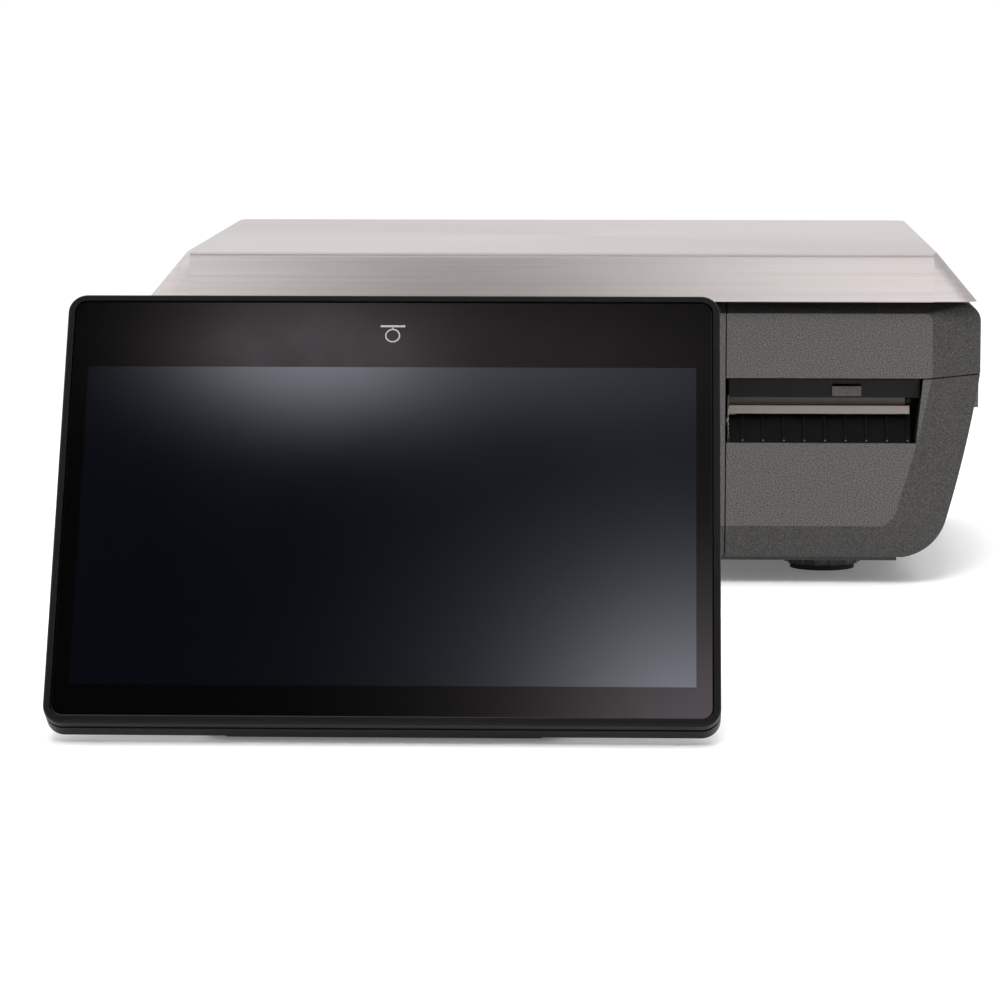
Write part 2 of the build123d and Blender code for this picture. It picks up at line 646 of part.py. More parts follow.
# ---------------------------------------------------------------- electrics of the weigher
PORT_FACE_Y = REAR_Y - WALL  # the panel lies against the rear wall's inner face
PANEL_T = 1.5
PANEL_LAP = 4.0              # panel edge past its opening
BOARD_Z = PAN_TOP_Z + 11.0
BOARD_T = 1.6
JACK_W = 16.0
JACK_H = 13.5
JACK_DEPTH = 21.0
JACK_X = (-140.0, -116.0)
INLET_X = 36.0
INLET_Z = 58.0
INLET_W = 27.0
INLET_H = 19.5
SWITCH_X = -4.0
ROCKER_W = 13.0
ROCKER_H = 20.0


INLET_DEPTH = 22.0
INLET_WALL = 1.4
INLET_FLOOR = 4.0
PIN_SETBACK = 5.5
PIN_PLACES = ((-7.0, -2.0), (0.0, 2.0), (7.0, -2.0))
JACK_WALL = 2.0
JACK_FLOOR = 3.0
JACK_CAVITY = 14.0
ROCKER_DEPTH = 9.0
ROCKER_PROUD = 1.8
BOARD_W = 112.0
BOARD_DEPTH = 118.0
SUPPLY_X = (-122.0, -40.0)
SUPPLY_Y = (HOUSING_FRONT_Y + 48.0, HOUSING_FRONT_Y + 158.0)
SUPPLY_HEIGHT = 38.0
VENT_RADIUS = 3.0


def rear_opening(x, width, height, z, gap):
    """A cutter through the rear panel, centred at (x, z), with a gap all round."""
    half_w = width / 2 + gap
    half_h = height / 2 + gap
    return block(x - half_w, x + half_w, PORT_FACE_Y - LAP, PORT_FACE_Y + LAP, z - half_h, z + half_h)


def rear_panel():
    """Steel plate in the rear wall that frames the sockets and the power switch."""
    panel = block(
        REAR_PANEL_X0 - PANEL_LAP,
        REAR_PANEL_X1 + PANEL_LAP,
        PORT_FACE_Y - PANEL_T,
        PORT_FACE_Y,
        REAR_PANEL_Z0 - PANEL_LAP,
        REAR_PANEL_Z1 + PANEL_LAP,
    )
    for x in JACK_X:
        panel -= rear_opening(x, JACK_W, JACK_H, BOARD_Z + BOARD_T + JACK_H / 2, 0)
    panel -= rear_opening(INLET_X, INLET_W, INLET_H, INLET_Z, 0)
    return panel - rear_opening(SWITCH_X, ROCKER_W, ROCKER_H, INLET_Z, MOVING_CLEARANCE)


def power_inlet():
    """Three-pin appliance inlet with its cavity open to the rear."""
    y0 = PORT_FACE_Y - INLET_DEPTH
    half_w = INLET_W / 2
    half_h = INLET_H / 2
    body = block(INLET_X - half_w, INLET_X + half_w, y0, PORT_FACE_Y, INLET_Z - half_h, INLET_Z + half_h)
    half_w -= INLET_WALL
    half_h -= INLET_WALL
    body -= block(
        INLET_X - half_w,
        INLET_X + half_w,
        y0 + INLET_FLOOR,
        PORT_FACE_Y + LAP,
        INLET_Z - half_h,
        INLET_Z + half_h,
    )
    for x, z in PIN_PLACES:
        pin = Box(2, INLET_DEPTH - INLET_FLOOR - PIN_SETBACK + 1, 4)
        pin_y = (y0 + INLET_FLOOR - 1 + PORT_FACE_Y - PIN_SETBACK) / 2
        body += Pos(INLET_X + x, pin_y, INLET_Z + z) * pin
    return body


def power_rocker():
    """Rocker of the power switch, turning on a cross axis in the rear panel."""
    back = PORT_FACE_Y - ROCKER_DEPTH
    proud = PORT_FACE_Y + ROCKER_PROUD
    edge = ROCKER_H / 2 - 0.7
    outline = [
        (back, INLET_Z - edge / 2),
        (PORT_FACE_Y, INLET_Z - edge),
        (proud, INLET_Z - edge),
        (proud - 1.6, INLET_Z),
        (proud - 1.0, INLET_Z + edge),
        (PORT_FACE_Y - 1.0, INLET_Z + edge),
        (back, INLET_Z + edge / 2),
    ]
    return side_prism(outline, SWITCH_X - ROCKER_W / 2, SWITCH_X + ROCKER_W / 2)


def data_ports():
    """Two shielded network jacks on the board's rear edge."""
    jacks = []
    z0 = BOARD_Z + BOARD_T
    half = JACK_W / 2
    cavity = (z0 + JACK_FLOOR, z0 + JACK_H - JACK_WALL)
    for x in JACK_X:
        jack = block(x - half, x + half, PORT_FACE_Y - JACK_DEPTH, PORT_FACE_Y, z0, z0 + JACK_H)
        cavity_x = (x - half + JACK_WALL, x + half - JACK_WALL)
        jack -= block(*cavity_x, PORT_FACE_Y - JACK_CAVITY, PORT_FACE_Y + LAP, *cavity)
        jacks.append(jack)
    return jacks


def main_board():
    """Controller board on four stand-offs, with its tallest parts."""
    rear = PORT_FACE_Y - PANEL_T - 1.0
    front = rear - BOARD_DEPTH
    left = REAR_PANEL_X0
    right = left + BOARD_W
    top = BOARD_Z + BOARD_T
    board = block(left, right, front, rear, BOARD_Z, top)
    for x, y, width, depth, height in (
        (59, 51, 22, 22, 2.2),
        (19, 32, 18, 36, 5.0),
        (97, 40, 14, 60, 9.0),
    ):
        board += Pos(left + x, front + y, top + height / 2) * Box(width, depth, height)
    for x in (60, 76, 92):
        board += rod_z(left + x, front + 12, top, top + 11, 4)
    for x in (left + 5, right - 5):
        for y in (front + 5, rear - 30):
            board += rod_z(x, y, PAN_TOP_Z, BOARD_Z, 3)
    return board


def power_supply():
    """Mains power unit in a perforated steel cage."""
    top = PAN_TOP_Z + SUPPLY_HEIGHT
    cage = block(*SUPPLY_X, *SUPPLY_Y, PAN_TOP_Z, top)
    vents = GridLocations(15, 12, 5, 8)
    centre = Pos(sum(SUPPLY_X) / 2, sum(SUPPLY_Y) / 2, top)
    for vent in vents:
        cage -= centre * vent * Cylinder(VENT_RADIUS, 4)
    return cage


def bubble_level():
    """Round spirit level let into the deck under the platter."""
    top = DECK_Z + LEVEL_PROUD
    body = rod_z(LEVEL_X, LEVEL_Y, DECK_Z - LEVEL_HEIGHT, top, LEVEL_RADIUS)
    return body - rod_z(LEVEL_X, LEVEL_Y, top - 1.0, top + LAP, LEVEL_RADIUS - 2)


# ---------------------------------------------------------------- printer drawer
RAIL_X = (BAY_X + 1.2, PAN_HALF_X - 5.4)
RAIL_WEB = 1.2
RAIL_W = 4.2
RAIL_FRONT_Y = HOUSING_FRONT_Y + 14.0
RAIL_TOP_Z = TRAY_Z + TRAY_SHEET + 4.5
LIP_X0 = RAIL_X[0] + RAIL_WEB + SLIDE_CLEARANCE
LIP_X1 = RAIL_X[1] + RAIL_W - RAIL_WEB - SLIDE_CLEARANCE
CHASSIS_FLOOR_Z = RAIL_TOP_Z + 1.0


def drawer_rails():
    """Pair of fixed channel rails on the pan; their grooves hold the tray's lips."""
    groove_z = (TRAY_Z - SLIDE_CLEARANCE, TRAY_Z + TRAY_SHEET + SLIDE_CLEARANCE)
    groove_x0 = RAIL_X[0] + RAIL_WEB
    groove_x1 = RAIL_X[1] + RAIL_W - RAIL_WEB
    groove = block(groove_x0, groove_x1, RAIL_FRONT_Y - LAP, DRAWER_REAR_Y + LAP, *groove_z)
    return [
        block(x, x + RAIL_W, RAIL_FRONT_Y, DRAWER_REAR_Y, PAN_TOP_Z, RAIL_TOP_Z) - groove
        for x in RAIL_X
    ]


TRAY_REAR_Y = DRAWER_REAR_Y - 6.0
TRAY_REAR_TURN = 22.0
TRAY_FRONT_TURN = 16.0
TRAY_RIB_W = 5.0


def drawer_tray():
    """Sheet-steel tray of the drawer; its long lips run in the rails."""
    tray = block(LIP_X0, LIP_X1, TRAY_FRONT_Y, TRAY_REAR_Y, TRAY_Z, TRAY_Z + TRAY_SHEET)
    turn_x0 = RAIL_X[0] + RAIL_W + 2
    turn_x1 = RAIL_X[1] - 2
    for y, height in ((TRAY_REAR_Y - TRAY_SHEET, TRAY_REAR_TURN), (TRAY_FRONT_Y, TRAY_FRONT_TURN)):
        tray += block(turn_x0, turn_x1, y, y + TRAY_SHEET, TRAY_Z, TRAY_Z + height)
    for x in (CHASSIS_LEFT_X + 6, RAIL_X[1] - 10):
        tray += block(x, x + TRAY_RIB_W, CHASSIS_FRONT_Y + 4, CHASSIS_REAR_Y, TRAY_Z, CHASSIS_FLOOR_Z)
    return tray


CHASSIS_FRONT_Y = PLATEN_Y - 7.0
CHASSIS_REAR_Y = PLATEN_Y + 33.0
PINION_BACK = 3.0            # motor axis behind the platen axis
PINION_Y = PLATEN_Y + PINION_BACK
GEAR_CENTRES = GEAR_MODULE * (PLATEN_TEETH + PINION_TEETH) / 2
PINION_Z = PLATEN_Z - math.sqrt(GEAR_CENTRES**2 - PINION_BACK**2)
PLATEN_GEAR_TIP = GEAR_MODULE * (PLATEN_TEETH / 2 + 0.8)
MOTOR_SIZE = 2 * (PLATEN_Z - PINION_Z - PLATEN_RADIUS) - 0.8
MOTOR_LENGTH = 30.0
GEAR_X0 = BAY_X + 1.0
ROLL_MID_X = (CHASSIS_LEFT_X + CHASSIS_RIGHT_X + CHASSIS_SHEET) / 2
SPINDLE_RADIUS = 4.0


CHASSIS_CHEEK = 18.0         # height of the low stretch between head and roll
ARM_HALF = 9.0
BUSH_WALL = 2.0
BUSH_FLANGE = 1.2


def plate_hole(x, y, z, radius):
    """A cutter for a hole through one side plate of the printer."""
    return rod_x(x - LAP, x + CHASSIS_SHEET + LAP, y, z, radius)


def printer_chassis():
    """Folded steel frame of the printer: two side plates on one floor, with roll arms."""
    floor_z = CHASSIS_FLOOR_Z
    front = CHASSIS_FRONT_Y
    rear = CHASSIS_REAR_Y
    right = CHASSIS_RIGHT_X + CHASSIS_SHEET
    frame = block(CHASSIS_LEFT_X, right, front, rear, floor_z, floor_z + CHASSIS_SHEET)
    nip_top = NIP_Z - 0.5
    head_top = HEAD_AXIS_Z + 2 * HEAD_SHAFT_RADIUS
    outline = [
        (front, floor_z),
        (front, nip_top),
        (PLATEN_Y + 9, nip_top),
        (PLATEN_Y + 16, head_top),
        (rear, head_top),
        (rear, floor_z + CHASSIS_CHEEK),
        (ROLL_Y - ARM_HALF, floor_z + CHASSIS_CHEEK),
        (ROLL_Y - ARM_HALF, ROLL_Z + ARM_HALF),
        (ROLL_Y + ARM_HALF, ROLL_Z + ARM_HALF),
        (ROLL_Y + ARM_HALF + 5, floor_z),
    ]
    for x in (CHASSIS_LEFT_X, CHASSIS_RIGHT_X):
        frame += side_prism(outline, x, x + CHASSIS_SHEET)
        frame -= plate_hole(x, PLATEN_Y, PLATEN_Z, PLATEN_SHAFT_RADIUS + BUSH_WALL)
        frame -= plate_hole(x, HEAD_AXIS_Y, HEAD_AXIS_Z, HEAD_SHAFT_RADIUS)
        frame -= plate_hole(x, ROLL_Y, ROLL_Z, SPINDLE_RADIUS + RUNNING_CLEARANCE)
    pinion_room = GEAR_MODULE * PINION_TEETH / 2 + 2
    return frame - plate_hole(CHASSIS_LEFT_X, PINION_Y, PINION_Z, pinion_room)


def platen_bushes():
    """Pair of flanged plastic bushes that carry the platen's shaft in the side plates."""
    bushes = []
    inner_faces = (CHASSIS_LEFT_X + CHASSIS_SHEET, CHASSIS_RIGHT_X - BUSH_FLANGE)
    outer_radius = PLATEN_SHAFT_RADIUS + BUSH_WALL
    for x, flange_x in zip((CHASSIS_LEFT_X, CHASSIS_RIGHT_X), inner_faces):
        bush = rod_x(x, x + CHASSIS_SHEET, PLATEN_Y, PLATEN_Z, outer_radius)
        bush += rod_x(flange_x, flange_x + BUSH_FLANGE, PLATEN_Y, PLATEN_Z, outer_radius + 1)
        bush -= plate_hole(x, PLATEN_Y, PLATEN_Z, PLATEN_SHAFT_RADIUS + RUNNING_CLEARANCE)
        bushes.append(bush)
    return bushes


PLATEN_X0 = CHASSIS_LEFT_X + CHASSIS_SHEET + 2.0
PLATEN_X1 = CHASSIS_RIGHT_X - 2.0


def platen_roller():
    """Rubber sleeve of the platen."""
    sleeve = rod_x(PLATEN_X0, PLATEN_X1, PLATEN_Y, PLATEN_Z, PLATEN_RADIUS)
    return sleeve - rod_x(PLATEN_X0 - 1, PLATEN_X1 + 1, PLATEN_Y, PLATEN_Z, PLATEN_SHAFT_RADIUS)


def platen_shaft():
    """Ground steel shaft through the platen; its left end carries the gear."""
    right = CHASSIS_RIGHT_X + CHASSIS_SHEET + 1.5
    return rod_x(GEAR_X0 - 0.4, right, PLATEN_Y, PLATEN_Z, PLATEN_SHAFT_RADIUS)


def spur_gear(teeth, bore, y, z, first_tooth):
    """Straight-flanked spur gear with backlash; first_tooth is the angle of one tooth's centre."""
    pitch_r = GEAR_MODULE * teeth / 2
    root_r = pitch_r - 1.3 * GEAR_MODULE
    tip_r = pitch_r + 0.8 * GEAR_MODULE
    step = 360 / teeth
    gear = rod_x(GEAR_X0, GEAR_X0 + GEAR_WIDTH, y, z, root_r)
    root_half = 0.5 * step * 0.62
    tip_half = 0.5 * step * 0.24
    rooted_r = root_r - 0.3
    flanks = ((rooted_r, -root_half), (tip_r, -tip_half), (tip_r, tip_half), (rooted_r, root_half))
    for tooth in range(teeth):
        corners = []
        for radius, from_middle in flanks:
            turn = math.radians(first_tooth + tooth * step + from_middle)
            corners.append((y + radius * math.cos(turn), z + radius * math.sin(turn)))
        gear += side_prism(corners, GEAR_X0, GEAR_X0 + GEAR_WIDTH)
    return gear - rod_x(GEAR_X0 - LAP, GEAR_X0 + GEAR_WIDTH + LAP, y, z, bore)


GEAR_LINE = math.degrees(math.atan2(PINION_Z - PLATEN_Z, PINION_Y - PLATEN_Y))


def platen_gear():
    """Driven gear on the platen's shaft; a tooth points along the line of centres."""
    return spur_gear(PLATEN_TEETH, PLATEN_SHAFT_RADIUS, PLATEN_Y, PLATEN_Z, GEAR_LINE)


def motor_pinion():
    """Brass pinion on the motor's shaft; a gap faces the platen gear's tooth."""
    half_step = 180 / PINION_TEETH
    shaft_r = 1.5
    gear = spur_gear(PINION_TEETH, shaft_r, PINION_Y, PINION_Z, GEAR_LINE + 180 + half_step)
    return gear + rod_x(GEAR_X0, CHASSIS_LEFT_X + CHASSIS_SHEET, PINION_Y, PINION_Z, shaft_r)


def stepper_motor():
    """Square stepper motor fixed to the inside of the left side plate."""
    x0 = CHASSIS_LEFT_X + CHASSIS_SHEET
    body = Pos(x0 + MOTOR_LENGTH / 2, PINION_Y, PINION_Z) * Box(MOTOR_LENGTH, MOTOR_SIZE, MOTOR_SIZE)
    body = fillet(body.edges().filter_by(Axis.X), 3.0)
    return body - rod_x(x0 - LAP, x0 + MOVING_CLEARANCE, PINION_Y, PINION_Z, 4)


def rib_guide():
    """Black ribbed ramp that lifts the printed label out of the slot."""
    x0 = BAY_X + 1.5
    x1 = SLOT_END_BOTTOM_X - 2.6
    y0 = HOUSING_FRONT_Y + WALL
    low = SLOT_BOTTOM_Z
    ramp = [
        (y0, low - 5),
        (y0, low + 0.4),
        (y0 + 9.2, low + 14.2),
        (y0 + 11.3, low + 13.4),
        (y0 + 2, low - 0.4),
        (y0 + 2, low - 5),
    ]
    guide = side_prism(ramp, x0, x1)
    ribs = int((x1 - x0 - 3) / RIB_PITCH)
    for rib in range(ribs + 1):
        x = x1 - 1.6 - rib * RIB_PITCH
        crest = [
            (y0 + 0.2, low + 0.2),
            (y0 - 2.0, low + 0.6),
            (y0 - 1.6, low + 2.0),
            (y0 + 7.8, low + 15.0),
            (y0 + 9.4, low + 14.0),
        ]
        guide += side_prism(crest, x - 0.6, x + 0.6)
    gear_end = GEAR_X0 + GEAR_WIDTH + 0.6
    gear_reach = PLATEN_GEAR_TIP + 0.6
    return guide - rod_x(x0 - 1, gear_end, PLATEN_Y, PLATEN_Z, gear_reach)


HEAD_COVER_Y = HOUSING_FRONT_Y + 10.0
HEAD_COVER_T = 1.8


LIP_HEIGHT = 5.0
LIP_T = 2.5
LIP_DROP = 1.8               # how far the lip hangs below the bar


def tear_bar():
    """Stainless tear-off bar: a lip over the ramp, held behind the head cover's edge."""
    x0 = BAY_X + 1.5
    x1 = TEAR_BAR_END_X
    rear = HEAD_COVER_Y + HEAD_COVER_T
    bar_z0 = NIP_Z - 0.3
    lip_y0 = HEAD_COVER_Y - LIP_T - 1.0
    lip_z0 = bar_z0 - LIP_DROP
    lip = block(x0, x1, lip_y0, lip_y0 + LIP_T, lip_z0, lip_z0 + LIP_HEIGHT)
    lip = fillet(lip.edges().filter_by(Axis.X).group_by(Axis.Y)[0], LIP_T / 3)
    bar = block(x0, x1, lip_y0 + LIP_T / 2, rear + 1.2, bar_z0, lip_z0 + LIP_HEIGHT)
    strip = block(x0, x1 - 2, rear, rear + 1.2, bar_z0, bar_z0 + 7.2)
    return lip + bar + strip


HEAD_COVER_TOP_Z = SEAM_Z - 1.4
SENSOR_X = 145.8
SENSOR_W = 14.8
SENSOR_DEPTH = 7.0
SENSOR_Z0 = NIP_Z + 7.2
SENSOR_Z1 = NIP_Z + 12.2


def head_cover():
    """Black cover plate over the print head, with the window of the label sensor."""
    y0 = HEAD_COVER_Y
    x0 = BAY_X + 1.5
    x1 = CHASSIS_RIGHT_X
    cover = block(x0, x1, y0, CHASSIS_REAR_Y, HEAD_COVER_TOP_Z - 1.6, HEAD_COVER_TOP_Z)
    front_x1 = SLOT_END_BOTTOM_X + 2
    cover += block(x0, front_x1, y0, y0 + HEAD_COVER_T, NIP_Z + 6.3, HEAD_COVER_TOP_Z)
    tab_y = HEAD_AXIS_Y + 4.5
    for tab_x in (CHASSIS_LEFT_X + CHASSIS_SHEET, CHASSIS_RIGHT_X - 3.5):
        cover += block(tab_x, tab_x + 3.5, tab_y, CHASSIS_REAR_Y, HEAD_AXIS_Z - 4, HEAD_COVER_TOP_Z)
    half = SENSOR_W / 2
    window_z = (SENSOR_Z0, SENSOR_Z1 + 1.2)
    return cover - block(SENSOR_X - half, SENSOR_X + half, y0 - LAP, y0 + LAP, *window_z)


def label_sensor():
    """Small optical sensor that sees whether a label waits in the slot."""
    y0 = HEAD_COVER_Y - HEAD_COVER_T
    half = SENSOR_W / 2
    return block(SENSOR_X - half, SENSOR_X + half, y0, y0 + SENSOR_DEPTH, SENSOR_Z0, SENSOR_Z1)


HEAD_X0 = CHASSIS_LEFT_X + CHASSIS_SHEET + 1.5
HEAD_X1 = CHASSIS_RIGHT_X - 1.5
HEAD_FRONT_Y = PLATEN_Y - 7.0


HEAD_PLATE_T = 4.0
HEAD_STRIP_TOP_Z = NIP_Z + 2.0
FIN_PITCH = 9.0
FIN_HEIGHT = 3.0


def head_bracket():
    """Aluminium heat-sink bracket that carries the print head and turns on the head shaft."""
    z0 = HEAD_STRIP_TOP_Z
    z1 = z0 + HEAD_PLATE_T
    hub_r = HEAD_SHAFT_RADIUS + 1.5
    plate = block(HEAD_X0, HEAD_X1, HEAD_FRONT_Y, HEAD_AXIS_Y - hub_r, z0, z1)
    for fin in range(9):
        x = HEAD_X0 + (fin + 1) * FIN_PITCH
        plate += block(x - 1, x + 1, HEAD_FRONT_Y + 6, HEAD_AXIS_Y - 10, z1, z1 + FIN_HEIGHT)
    for x in (HEAD_X0, HEAD_X1 - HEAD_PLATE_T):
        ear = block(x, x + HEAD_PLATE_T, HEAD_AXIS_Y - 2 * hub_r, HEAD_AXIS_Y, z0, HEAD_AXIS_Z + hub_r)
        plate += ear + rod_x(x, x + HEAD_PLATE_T, HEAD_AXIS_Y, HEAD_AXIS_Z, hub_r)
    bore = HEAD_SHAFT_RADIUS + RUNNING_CLEARANCE
    return plate - rod_x(HEAD_X0 - LAP, HEAD_X1 + LAP, HEAD_AXIS_Y, HEAD_AXIS_Z, bore)


def thermal_head():
    """Ceramic heater strip under the bracket, just clear of the platen."""
    x0 = HEAD_X0 + 4
    x1 = HEAD_X1 - 4
    z0 = NIP_Z + MOVING_CLEARANCE
    return block(x0, x1, HEAD_FRONT_Y + 1, PLATEN_Y + 8, z0, HEAD_STRIP_TOP_Z)


LEVER_X0 = CHASSIS_RIGHT_X + CHASSIS_SHEET + 0.6
LEVER_X1 = LEVER_X0 + 2.4


def head_shaft():
    """Fixed steel shaft between the side plates, for the print head and its lever."""
    return rod_x(CHASSIS_LEFT_X, LEVER_X1 + 0.6, HEAD_AXIS_Y, HEAD_AXIS_Z, HEAD_SHAFT_RADIUS)


LEVER_HUB_RADIUS = 6.0
LEVER_REACH = 30.0
LEVER_HALF = 3.5
LEVER_TIP = 9.0


def head_lever():
    """Green thumb lever that lifts the print head for loading."""
    y1 = HEAD_AXIS_Y + LEVER_REACH
    z0 = HEAD_AXIS_Z - LEVER_HALF
    z1 = HEAD_AXIS_Z + LEVER_HALF
    tip_x = LEVER_X1 + LEVER_X1 - LEVER_X0
    lever = rod_x(LEVER_X0, LEVER_X1, HEAD_AXIS_Y, HEAD_AXIS_Z, LEVER_HUB_RADIUS)
    lever += block(LEVER_X0, LEVER_X1, HEAD_AXIS_Y, y1, z0, z1)
    lever += block(LEVER_X0, tip_x, y1 - LEVER_TIP, y1, z0, z1 + 1.5)
    bore = HEAD_SHAFT_RADIUS + RUNNING_CLEARANCE
    return lever - rod_x(LEVER_X0 - LAP, LEVER_X1 + LAP, HEAD_AXIS_Y, HEAD_AXIS_Z, bore)


def label_roll():
    """Roll of thermal labels on its card core."""
    x0 = ROLL_MID_X - ROLL_WIDTH / 2
    x1 = ROLL_MID_X + ROLL_WIDTH / 2
    roll = rod_x(x0, x1, ROLL_Y, ROLL_Z, ROLL_DIAMETER / 2)
    return roll - rod_x(x0 - LAP, x1 + LAP, ROLL_Y, ROLL_Z, ROLL_CORE_DIAMETER / 2)


ROLL_FLANGE = 1.8


def roll_spindle():
    """Plastic spindle with two flanges that centres the roll and turns in the arms."""
    x0 = ROLL_MID_X - ROLL_WIDTH / 2
    x1 = ROLL_MID_X + ROLL_WIDTH / 2
    spindle = rod_x(x0 - ROLL_FLANGE, x1 + ROLL_FLANGE, ROLL_Y, ROLL_Z, ROLL_CORE_DIAMETER / 2)
    for x in (x0 - ROLL_FLANGE, x1):
        spindle += rod_x(x, x + ROLL_FLANGE, ROLL_Y, ROLL_Z, ROLL_DIAMETER / 2 - 8)
    ends = (CHASSIS_LEFT_X - 1.0, CHASSIS_RIGHT_X + CHASSIS_SHEET + 1.0)
    return spindle + rod_x(*ends, ROLL_Y, ROLL_Z, SPINDLE_RADIUS)


# ---------------------------------------------------------------- console
CONSOLE_PLACE = Location((CONSOLE_X, CONSOLE_FRONT_Y, CONSOLE_FRONT_Z), (-TILT, 0, 0))
HALF_CONSOLE = CONSOLE_W / 2
GLASS_GAP = 0.2
SHELL_Y0 = FRAME_T + GROOVE_T
SHELL_WALL = 2.5
BULGE_HALF = 84.0
BULGE_Z0 = 92.0
BULGE_Z1 = 180.0
BULGE_Y = 31.0
VENT_PITCH = 12.0
BRACKET_T = 2.0
EAR_T = 4.0
FRICTION_GAP = 0.3


def slab(inset, y0, y1, corner):
    """Rounded console outline, pulled in by inset, between two depths behind the glass."""
    outline = RectangleRounded(CONSOLE_W - 2 * inset, CONSOLE_H - 2 * inset, corner)
    place = Pos(0, y1, CONSOLE_H / 2) * Rot(90, 0, 0)
    return extrude(place * outline, amount=y1 - y0)


def display_frame():
    """Moulded front frame: a narrow rim round the glass with a ledge behind it."""
    frame = slab(0, 0, FRAME_T, CONSOLE_CORNER)
    front_edges = frame.edges().group_by(Axis.Y)[0]
    frame = fillet(front_edges, CONSOLE_EDGE)
    frame -= slab(RIM, -1, GLASS_T + 0.5, CONSOLE_CORNER - RIM)
    frame -= slab(RIM + 4, -1, FRAME_T + 1, 3)
    frame += slab(GROOVE_IN, FRAME_T, SHELL_Y0, CONSOLE_CORNER - GROOVE_IN) - slab(
        GROOVE_IN + 2.6, FRAME_T - 1, SHELL_Y0 + 1, 3
    )
    return CONSOLE_PLACE * frame


def cover_glass():
    """Chemically hardened cover glass of the touch screen."""
    glass = slab(RIM + GLASS_GAP, 0.5, 0.5 + GLASS_T, CONSOLE_CORNER - RIM - GLASS_GAP)
    return CONSOLE_PLACE * glass


def lcd_panel():
    """Liquid crystal panel with its metal back, bonded behind the glass."""
    half = SCREEN_W / 2 + 2.8
    panel = block(
        -half, half, GLASS_T + 0.5, GLASS_T + 4.0, SCREEN_BOTTOM - 8.5, SCREEN_BOTTOM + SCREEN_H + 4
    )
    return CONSOLE_PLACE * panel


def display_board():
    """Panel computer board with its shield can and connectors, inside the rear bulge."""
    y0 = GLASS_T + 10.0
    board = block(-70, 70, y0, y0 + 1.6, BULGE_Z0 + 6, BULGE_Z1 - 8)
    board += block(-40, 0, y0 + 1.6, y0 + 6, BULGE_Z0 + 20, BULGE_Z0 + 60)
    board += block(20, 52, y0 + 1.6, y0 + 9, BULGE_Z0 + 10, BULGE_Z0 + 22)
    for x in (-64, 64):
        for z in (BULGE_Z0 + 12, BULGE_Z1 - 14):
            board += block(x - 3, x + 3, GLASS_T + 4.0, y0, z - 3, z + 3)
    return CONSOLE_PLACE * board


def display_rear_shell():
    """Moulded rear shell with a raised box for the electronics."""
    shell = slab(0, SHELL_Y0, CONSOLE_T, CONSOLE_CORNER)
    back_edges = shell.edges().group_by(Axis.Y)[-1]
    shell = fillet(back_edges, 3.0)
    bulge = block(-BULGE_HALF, BULGE_HALF, CONSOLE_T - 3, BULGE_Y, BULGE_Z0, BULGE_Z1)
    bulge = fillet(bulge.edges().group_by(Axis.Y)[-1], 5.0)
    shell += bulge
    shell -= slab(SHELL_WALL, SHELL_Y0 - 1, CONSOLE_T - SHELL_WALL, CONSOLE_CORNER - SHELL_WALL)
    shell -= block(
        -BULGE_HALF + SHELL_WALL,
        BULGE_HALF - SHELL_WALL,
        CONSOLE_T - 4,
        BULGE_Y - SHELL_WALL,
        BULGE_Z0 + SHELL_WALL,
        BULGE_Z1 - SHELL_WALL,
    )
    vent_y = (BULGE_Y - SHELL_WALL - 1, BULGE_Y + 1)
    vent_z = (BULGE_Z1 - 22, BULGE_Z1 - 19.5)
    for vent in range(9):
        x = (vent - 4) * VENT_PITCH
        shell -= block(x - VENT_PITCH / 3, x + VENT_PITCH / 3, *vent_y, *vent_z)
    return CONSOLE_PLACE * shell


def display_screws():
    """Screws at the corners of the rear shell."""
    screws = []
    for x in (-HALF_CONSOLE + 14, HALF_CONSOLE - 14):
        for z in (14, CONSOLE_H - 14):
            head = rod_y(x, CONSOLE_T, CONSOLE_T + 1.6, z, 2.8)
            head -= rod_y(x, CONSOLE_T + 0.8, CONSOLE_T + 2, z, 1.4)
            screws.append(CONSOLE_PLACE * head)
    return screws


def tilt_bracket():
    """Folded steel bracket on the rear shell, with two ears for the hinge pin."""
    inner = KNUCKLE_HALF + FRICTION_GAP
    outer = inner + EAR_T
    y0 = CONSOLE_T
    bracket = block(-outer, outer, y0, y0 + BRACKET_T, HINGE_UP - 22, HINGE_UP + 22)
    ear = [
        (y0, HINGE_UP - 14),
        (HINGE_BACK, HINGE_UP - KNUCKLE_RADIUS),
        (HINGE_BACK, HINGE_UP + KNUCKLE_RADIUS),
        (y0, HINGE_UP + 14),
    ]
    for x in (inner, -outer):
        bracket += side_prism(ear, x, x + EAR_T)
        bracket += rod_x(x, x + EAR_T, HINGE_BACK, HINGE_UP, KNUCKLE_RADIUS)
    bracket -= rod_x(-outer - 1, outer + 1, HINGE_BACK, HINGE_UP, HINGE_PIN_RADIUS)
    return CONSOLE_PLACE * bracket


def hinge_pin():
    """Steel pin pressed into the bracket's ears; it turns in the stand's knuckle."""
    reach = KNUCKLE_HALF + FRICTION_GAP + EAR_T
    pin = rod_x(-reach - 1.5, reach + 1.5, HINGE_BACK, HINGE_UP, HINGE_PIN_RADIUS)
    return CONSOLE_PLACE * pin


